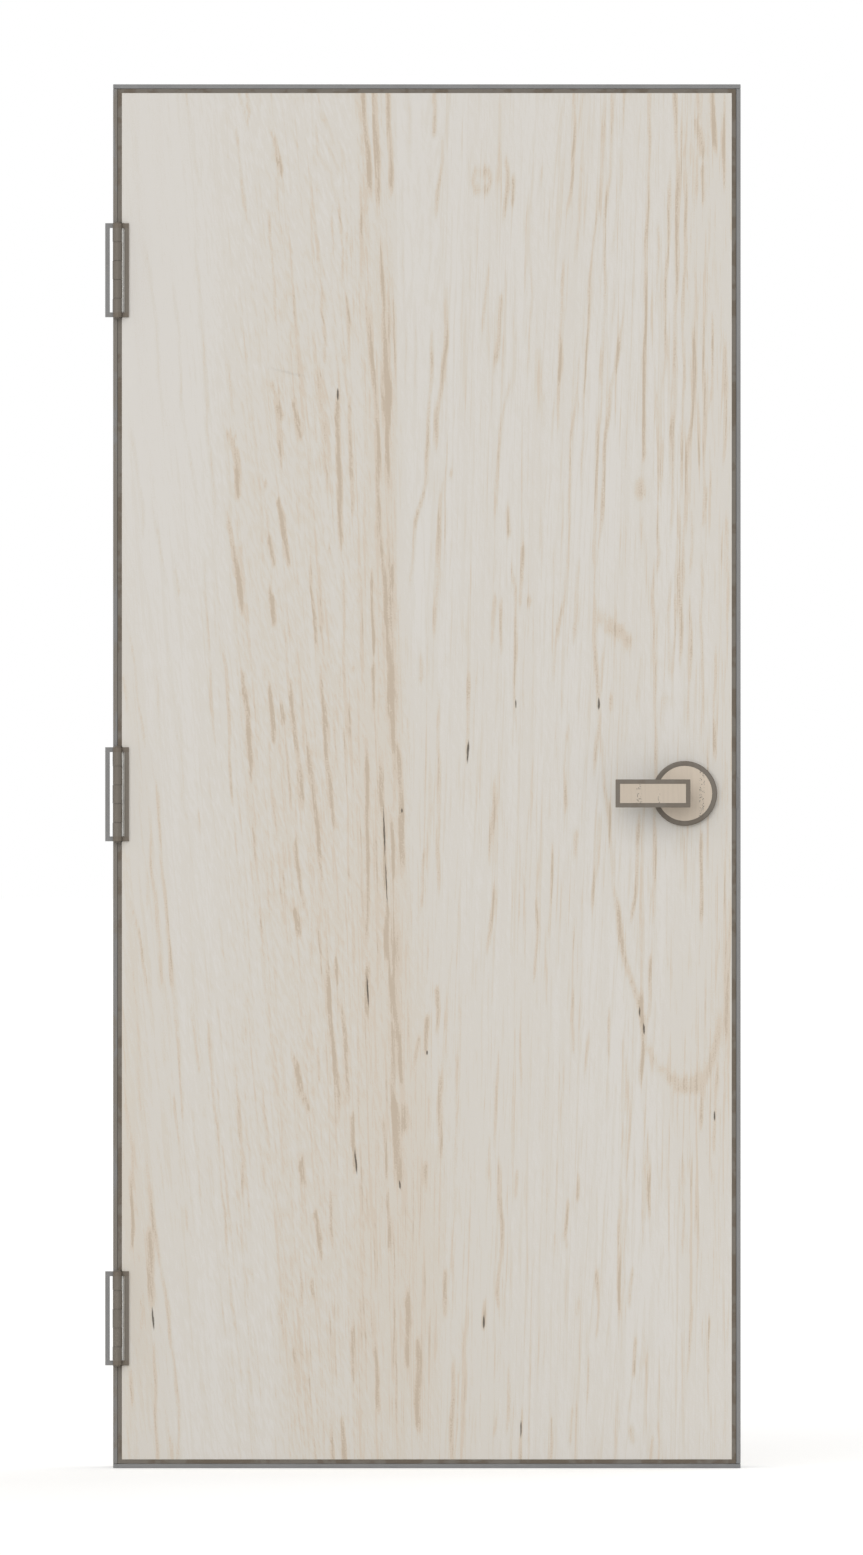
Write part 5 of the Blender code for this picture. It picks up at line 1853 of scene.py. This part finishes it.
    def _shares(self) -> tuple[np.ndarray, np.ndarray, np.ndarray]:
        """Soft warmth of the wood, and where its leaning flecks and its lines show.

        Returns:
            The warmth, the share of flecks and the share of lines at every point.
        """
        warmth = np.full_like(self.across, self.PLAIN_WARMTH)
        for patch in (*PATCHES, CLEAR_WOOD):
            warmth += patch.strength * self._soft(patch)
        flecks = np.exp(-(((self.across - self.FLECKS_AT) / self.FLECKS_REACH) ** 2)) + self.FEWEST_FLECKS
        lines = np.interp(self.across, self.LINES_AT, self.LINES)
        strip = (self.across > self.STRIP_LEFT) * self._grown(self.across, *self.STRIP_RIGHT)
        strip = strip * self._grown(self.down, *self.STRIP_FOOT)
        warmth -= self.STRIP_PALER * strip
        clearing = (self.across < self.CLEARING_RIGHT) * self._grown(self.across, *self.CLEARING_LEFT)
        clearing = clearing * self._grown(self.down, *self.CLEARING_TOP)
        warmth -= self.CLEARING_PALER * clearing
        kept = 1.0 - self.CLEAR_LOSS * self._soft(CLEAR_WOOD) - self.STRIP_LOSS * strip
        return np.clip(warmth, 0.0, 1.0), np.clip(flecks * kept, 0.0, 1.0), lines * kept


# Sub-assemblies


@dataclass
class Leaf:
    """The wooden leaf: two veneer sheets on a core with stiles and rails, and brush seals on its edges."""

    seal_back: float = 0.0005
    seal_thickness: float = 0.0018
    seal_reach: float = 0.0063
    seal_tip: float = 0.0003
    seal_taper: float = 0.0003
    seal_end: float = 0.0015
    # Units of grain in a metre, across it and along it
    grain_across: float = 340.0
    grain_along: float = 9.0

    def dress(self) -> None:
        """Give the core, stiles and rails their wood."""
        tones = (Tone.EDGE_WOOD.value, Tone.DEEP_TAN.value)
        across, along = self.grain_across, self.grain_along
        upright = PlainWood("edge_wood_upright", *tones, (across, across, along))
        level = PlainWood("edge_wood_level", *tones, (along, across, across))
        dress(("hinge_stile", "latch_stile"), upright.material())
        dress(("top_rail", "bottom_rail"), level.material())
        dress(("leaf_core",), ChipBoard("core_board").material())

    def lay_veneer(self) -> None:
        """Make the two veneer sheets and put them in the place of the plain faces."""
        for side in Side:
            sheet = VeneerSheet(side)
            piece = sheet.build()
            veneer = Veneer(f"{side.name.lower()}_veneer", side)
            Bench.hand_over(piece, veneer.material(), Body.LEAF, Slot.VENEER)
            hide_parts(sheet.node)

    def _strip(self, name: str, low: Point, high: Point, tip: Point, pile: bpy.types.Material) -> None:
        """Fit one brush seal: a slim strip that thins towards its free edge.

        Args:
            name: the strip's name.
            low: its lowest corner, without the thin tip.
            high: its highest corner, without the thin tip.
            tip: the direction of its free edge.
            pile: its material.
        """
        strip = Bench.block(name, low, high)
        Bench.edit_faces(strip, tip)
        bpy.ops.mesh.inset(thickness=self.seal_taper, depth=0.0)
        bpy.ops.mesh.extrude_region_move(TRANSFORM_OT_translate={"value": tuple(Vector(tip) * self.seal_tip)})
        Bench.done()
        Bench.hand_over(Bench.smooth(strip), pile, Body.LEAF, Slot.SEAL)

    def fit_seals(self) -> None:
        """Fit brush seals to the four edges of the leaf, in the gap to the frame."""
        low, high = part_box("front_face")
        front = low.y + self.seal_back
        back = front + self.seal_thickness
        body = self.seal_reach - self.seal_tip
        upright, level = Pile("upright_brush", 2).material(), Pile("level_brush", 0).material()
        plates = [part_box(f"{place}_hinge_door_plate") for place in HINGE_PLACES]
        starts = [low.z - body] + [plate[1].z + self.seal_end for plate in plates]
        ends = [plate[0].z - self.seal_end for plate in plates] + [high.z + body]
        for number, (start, end) in enumerate(zip(starts, ends)):
            corners = (low.x - body, front, start), (low.x, back, end)
            self._strip(f"hinge_side_brush_{number}", *corners, (-1, 0, 0), upright)
        right = high.x - (self.seal_back + self.seal_thickness) * math.tan(BEVEL)
        corners = (right, front, low.z - body), (right + body, back, high.z + body)
        self._strip("latch_side_brush", *corners, (1, 0, 0), upright)
        self._strip("top_brush", (low.x, front, high.z), (right, back, high.z + body), (0, 0, 1), level)
        self._strip("bottom_brush", (low.x, front, low.z - body), (right, back, low.z), (0, 0, -1), level)


@dataclass
class SteelFrame:
    """The lining, its stops and seals, and the screws that fix it."""

    screw_steel: bpy.types.Material
    screw_radius: float = 0.0062
    screw_depth: float = 0.003
    inset: float = 0.0125
    end_distance: float = 0.15
    jamb_screws: int = 4
    sill_screws: int = 3
    edge_depth: float = 0.001
    specks: float = 0.3

    def dress(self) -> None:
        """Coat the bars and stops and give the seals their rubber."""
        grey = (Tone.STEEL_GREY.value, Tone.STEEL_CLOUD.value, Tone.STEEL_SPECK.value, self.specks)
        coat = CoatedSteel("grey_coat", *grey)
        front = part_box("hinge_jamb")[0].y
        jamb = FrontEdgeCoating("hinge_jamb_coat", *grey, edge_back=front + self.edge_depth)
        bars = ("frame_head", "frame_sill", "latch_jamb", "hinge_side_stop", "latch_side_stop", "head_stop")
        dress((*bars, "strike_plate"), coat.material())
        dress(("hinge_jamb",), jamb.material())
        dress(("hinge_side_seal", "latch_side_seal", "head_seal"), Rubber("seal_rubber").material())

    def fit_screws(self) -> None:
        """Set the fixing screws in the jambs and the sill."""
        screws = ScrewSet(self.screw_radius, self.screw_depth, self.screw_steel)
        sill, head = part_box("frame_sill"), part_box("frame_head")
        low, high = sill[1].z + self.end_distance, head[0].z - self.end_distance
        y = sill[1].y - self.inset
        for name, face, facing in (("hinge_jamb", 1, (1, 0, 0)), ("latch_jamb", 0, (-1, 0, 0))):
            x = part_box(name)[face].x
            places = [(x, y, height) for height in np.linspace(low, high, self.jamb_screws)]
            screws.place(f"{name}_screws", places, facing, Body.FRAME)
        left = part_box("hinge_jamb")[1].x + self.end_distance
        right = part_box("latch_jamb")[0].x - self.end_distance
        places = [(x, y, sill[1].z) for x in np.linspace(left, right, self.sill_screws)]
        screws.place("sill_screws", places, (0, 0, 1), Body.FRAME)


@dataclass
class Hinges:
    """Three hinges, each of two plates on a pin with its screws."""

    screw_steel: bpy.types.Material
    barrel_radius: float = 0.0066
    end_bar: float = 0.0072
    screws: int = 4
    screw_radius: float = 0.0046
    screw_depth: float = 0.002
    screw_end: float = 0.0185
    screw_inset: float = 0.011
    stagger: float = 0.0105
    leaf_gap: float = 0.0066
    # Where the near-white painted light in the flange's slot lies: from and to, measured from the pin's axis,
    # and from just in front of the leaf's face backwards
    slot_from: float = 0.0064
    slot_to: float = 0.0105
    slot_depth: float = 0.0004

    def axis(self) -> float:
        """X of the pins' middle."""
        low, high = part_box("middle_hinge_pin")
        return (low.x + high.x) / 2

    def dress(self) -> None:
        """Coat the plates and the pins."""
        bars = []
        for place in HINGE_PLACES:
            low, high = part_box(f"{place}_hinge_frame_plate")
            bars += [(low.z, low.z + self.end_bar), (high.z - self.end_bar, high.z)]
        coat = HingeCoating(
            "hinge_coat", Tone.FITTING_GREY.value, Tone.DARK_BROWN_GREY.value, Tone.SPECK.value,
            specks=0.8, clouds=0.12, wall_edge=self.axis() - self.barrel_radius, bars=tuple(bars),
            slot=(self.axis() + self.slot_from, self.axis() + self.slot_to),
            slot_front=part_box("front_face")[0].y - self.slot_depth,
        )
        parts = ("frame_plate", "door_plate", "pin")
        dress([f"{place}_hinge_{part}" for place in HINGE_PLACES for part in parts], coat.material())

    def fit_screws(self) -> None:
        """Set the screws in the edge plates of all three hinges."""
        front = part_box("front_face")[0].y
        screws = ScrewSet(self.screw_radius, self.screw_depth, self.screw_steel)
        for place in HINGE_PLACES:
            low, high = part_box(f"{place}_hinge_frame_plate")
            heights = np.linspace(low.z + self.screw_end, high.z - self.screw_end, self.screws)
            depths = [front + self.screw_inset + self.stagger * (row % 2) for row in range(self.screws)]
            for plate, x, way, body in (
                ("frame", self.axis(), 1, Body.FRAME), ("door", self.axis() + self.leaf_gap, -1, Body.LEAF),
            ):
                places = [(x, y, height) for y, height in zip(depths, heights)]
                screws.place(f"{place}_hinge_{plate}_screws", places, (way, 0, 0), body)


@dataclass
class LeverSet:
    """The two levers on their spindle, and the roses that they turn in."""

    screw_steel: bpy.types.Material
    neck_radius: float = 0.0068
    grub_radius: float = 0.0021
    grub_height: float = 0.0012
    grub_inset: float = 0.026
    grub_sides: int = 20
    # The socket's rim as a share of the grub's radius, and its depth as one of the grub's height
    socket_rim: float = 0.4
    socket_depth: float = 0.7
    proud: float = 0.0002
    # How much paler the covers' tan is painted: painted light against the shade that the lever and its ring
    # cast on them
    cover_painted_light: float = 1.14

    def dress(self) -> None:
        """Coat the levers and rings and give covers, inlays and works their finishes."""
        coat = CoatedSteel(
            "fitting_coat", Tone.FITTING_GREY.value, Tone.DARK_BROWN_GREY.value, Tone.SPECK.value,
            specks=0.25, roughness=0.4,
        )
        dress(("front_rose_ring", "back_rose_ring", "front_lever", "back_lever"), coat.material())
        dress(("front_lever_inlay", "back_lever_inlay"), FittingWood("inlay_wood").material())
        # The covers' tan is painted paler than the inlays' tan, as painted light against the lever's shade
        cover = FittingWood("cover_wood", shade(Tone.FITTING_TAN.value, self.cover_painted_light))
        dress(("front_rose_cover", "back_rose_cover"), cover.material())
        steel = BrushedSteel("works_steel", Tone.BRIGHT_METAL.value).material()
        dress(("lever_spindle", "lock_chassis", "latch_case", "latch_faceplate", "latch_bolt"), steel)

    def fit_grub_screws(self) -> None:
        """Set a socket grub screw under each lever's neck."""
        low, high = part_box("lever_spindle")
        centre = (low + high) / 2
        bottom = centre.z - self.neck_radius - self.proud
        for side in Side:
            name = side.name.lower()
            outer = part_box(f"{name}_lever")[0 if side is Side.FRONT else 1].y
            y = outer - side.value * self.grub_inset
            ends = [(centre.x, y, z) for z in (bottom + self.grub_height, bottom)]
            grub = Bench.rod(f"{name}_grub_screw", self.grub_radius, *ends, self.grub_sides)
            Bench.edit_faces(grub, (0, 0, -1))
            bpy.ops.mesh.inset(thickness=self.grub_radius * self.socket_rim, depth=0.0)
            bpy.ops.mesh.extrude_region_move(
                TRANSFORM_OT_translate={"value": (0.0, 0.0, self.grub_height * self.socket_depth)}
            )
            Bench.done()
            Bench.hand_over(Bench.smooth(grub), self.screw_steel, Body.LEVERS, Slot.STEEL)


@dataclass
class LatchScrews:
    """The screws of the latch's face plate and of the strike."""

    screw_steel: bpy.types.Material
    strike_spacing: float = 0.1048
    strike_radius: float = 0.0046
    plate_spacing: float = 0.0413
    plate_radius: float = 0.0038
    depth: float = 0.0016

    def fit(self) -> None:
        """Set two screws in each plate."""
        strike_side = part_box("strike_plate")[0].x
        bolt_low, bolt_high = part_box("latch_bolt")
        middle = (bolt_low + bolt_high) / 2
        ends = (-0.5, 0.5)
        places = [(strike_side, middle.y, middle.z + end * self.strike_spacing) for end in ends]
        ScrewSet(self.strike_radius, self.depth, self.screw_steel).place(
            "strike_screws", places, (-1, 0, 0), Body.FRAME
        )
        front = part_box("front_face")
        edge = front[1].x - (middle.y - front[0].y) * math.tan(BEVEL)
        places = [(edge, middle.y, middle.z + end * self.plate_spacing) for end in ends]
        ScrewSet(self.plate_radius, self.depth, self.screw_steel).place(
            "faceplate_screws", places, (math.cos(BEVEL), math.sin(BEVEL), 0), Body.LEAF
        )


# Studio


@dataclass
class Studio:
    """Floor, light and camera."""

    reach: float = 140.0
    ambient: float = 0.6
    key: float = 1.28
    key_from: Point = (-0.3, -1.0, 0.45)
    fill: float = 0.95
    fill_from: Point = (0.6, 1.0, 0.55)
    spread: float = math.radians(60.0)
    floor_drop: float = 0.0002
    floor_lift: float = 0.36
    mottle_scale: Point = (1.5, 1.5, 1.5)
    mottled: float = 0.985
    distance: float = 30.0
    metres_per_unit: float = 0.0014775
    aim: Point = (0.00685, 0.0, 1.0205)
    sensor: float = 36.0
    seen: tuple[float, float] = (1.0, 400.0)

    @staticmethod
    def _seen(graph: Graph) -> Value:
        """1 for rays from the camera, from gloss or through glass, and 0 for light itself.

        Args:
            graph: a material's or the world's graph.

        Returns:
            The mask.
        """
        rays = graph.node("ShaderNodeLightPath")
        camera, gloss, glass = (
            Value(graph, rays.outputs[f"Is {kind} Ray"]) for kind in ("Camera", "Glossy", "Transmission")
        )
        return camera.larger(gloss).larger(glass)

    def lay_floor(self) -> None:
        """A pale level floor that keeps soft shadows."""
        Bench.clear()
        bpy.ops.mesh.primitive_plane_add(size=2 * self.reach, location=(0.0, 0.0, -self.floor_drop))
        floor = bpy.context.object
        floor.name = "floor"
        graph = Surface("pale_floor")
        mottle = graph.noise(graph.spread(self.mottle_scale), 3.0)
        lift = (self.floor_lift,) * 3
        material = graph.finish(
            Base_Color=graph.mixed(mottle, Tone.FLOOR.value, shade(Tone.FLOOR.value, self.mottled)),
            Roughness=0.8,
            Specular_IOR_Level=0.0,
            Emission_Strength=1.0,
            Emission_Color=graph.mixed(self._seen(graph), (0.0, 0.0, 0.0), lift),
        )
        floor.data.materials.append(material)

    def light(self) -> None:
        """A white world with a wide soft key from the front and a weaker one from behind."""
        world = bpy.data.worlds.new("studio_white")
        graph = Graph(world)
        background = graph.tree.nodes["Background"]
        graph.feed(background.inputs["Color"], (1.0, 1.0, 1.0))
        seen = self._seen(graph)
        graph.feed(background.inputs["Strength"], seen + (1.0 - seen) * self.ambient)
        bpy.context.scene.world = world
        for name, direction, energy in (
            ("key", self.key_from, self.key), ("fill", self.fill_from, self.fill),
        ):
            lamp = bpy.data.lights.new(name, "SUN")
            lamp.energy = energy
            lamp.angle = self.spread
            holder = bpy.data.objects.new(name, lamp)
            holder.rotation_euler = Vector(direction).to_track_quat("Z", "Y").to_euler()
            bpy.context.scene.collection.objects.link(holder)

    def aim_camera(self) -> None:
        """A long lens straight in front, so that the door stands as in an elevation."""
        lens = bpy.data.cameras.new("elevation")
        lens.sensor_width = self.sensor
        lens.lens = self.sensor * self.distance / (DRAWING.height * self.metres_per_unit)
        lens.clip_start, lens.clip_end = self.seen
        camera = bpy.data.objects.new("elevation", lens)
        camera.location = (self.aim[0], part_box("front_face")[0].y - self.distance, self.aim[2])
        camera.rotation_euler = (math.pi / 2, 0.0, 0.0)
        bpy.context.scene.collection.objects.link(camera)
        bpy.context.scene.camera = camera
        bpy.context.scene.view_settings.view_transform = "Standard"


def main() -> None:
    """Dress the door, add its small fittings and set up the studio."""
    logging.basicConfig(level=logging.INFO, format="%(message)s")
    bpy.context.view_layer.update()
    screw_steel = BrushedSteel("screw_steel", Tone.SCREW_METAL.value).material()
    steel_frame = SteelFrame(screw_steel)
    steel_frame.dress()
    steel_frame.fit_screws()
    leaf = Leaf()
    leaf.dress()
    leaf.lay_veneer()
    leaf.fit_seals()
    hinges = Hinges(screw_steel)
    hinges.dress()
    hinges.fit_screws()
    levers = LeverSet(screw_steel)
    levers.dress()
    levers.fit_grub_screws()
    LatchScrews(screw_steel).fit()
    studio = Studio()
    studio.lay_floor()
    studio.light()
    studio.aim_camera()


if __name__ == "__main__":
    main()
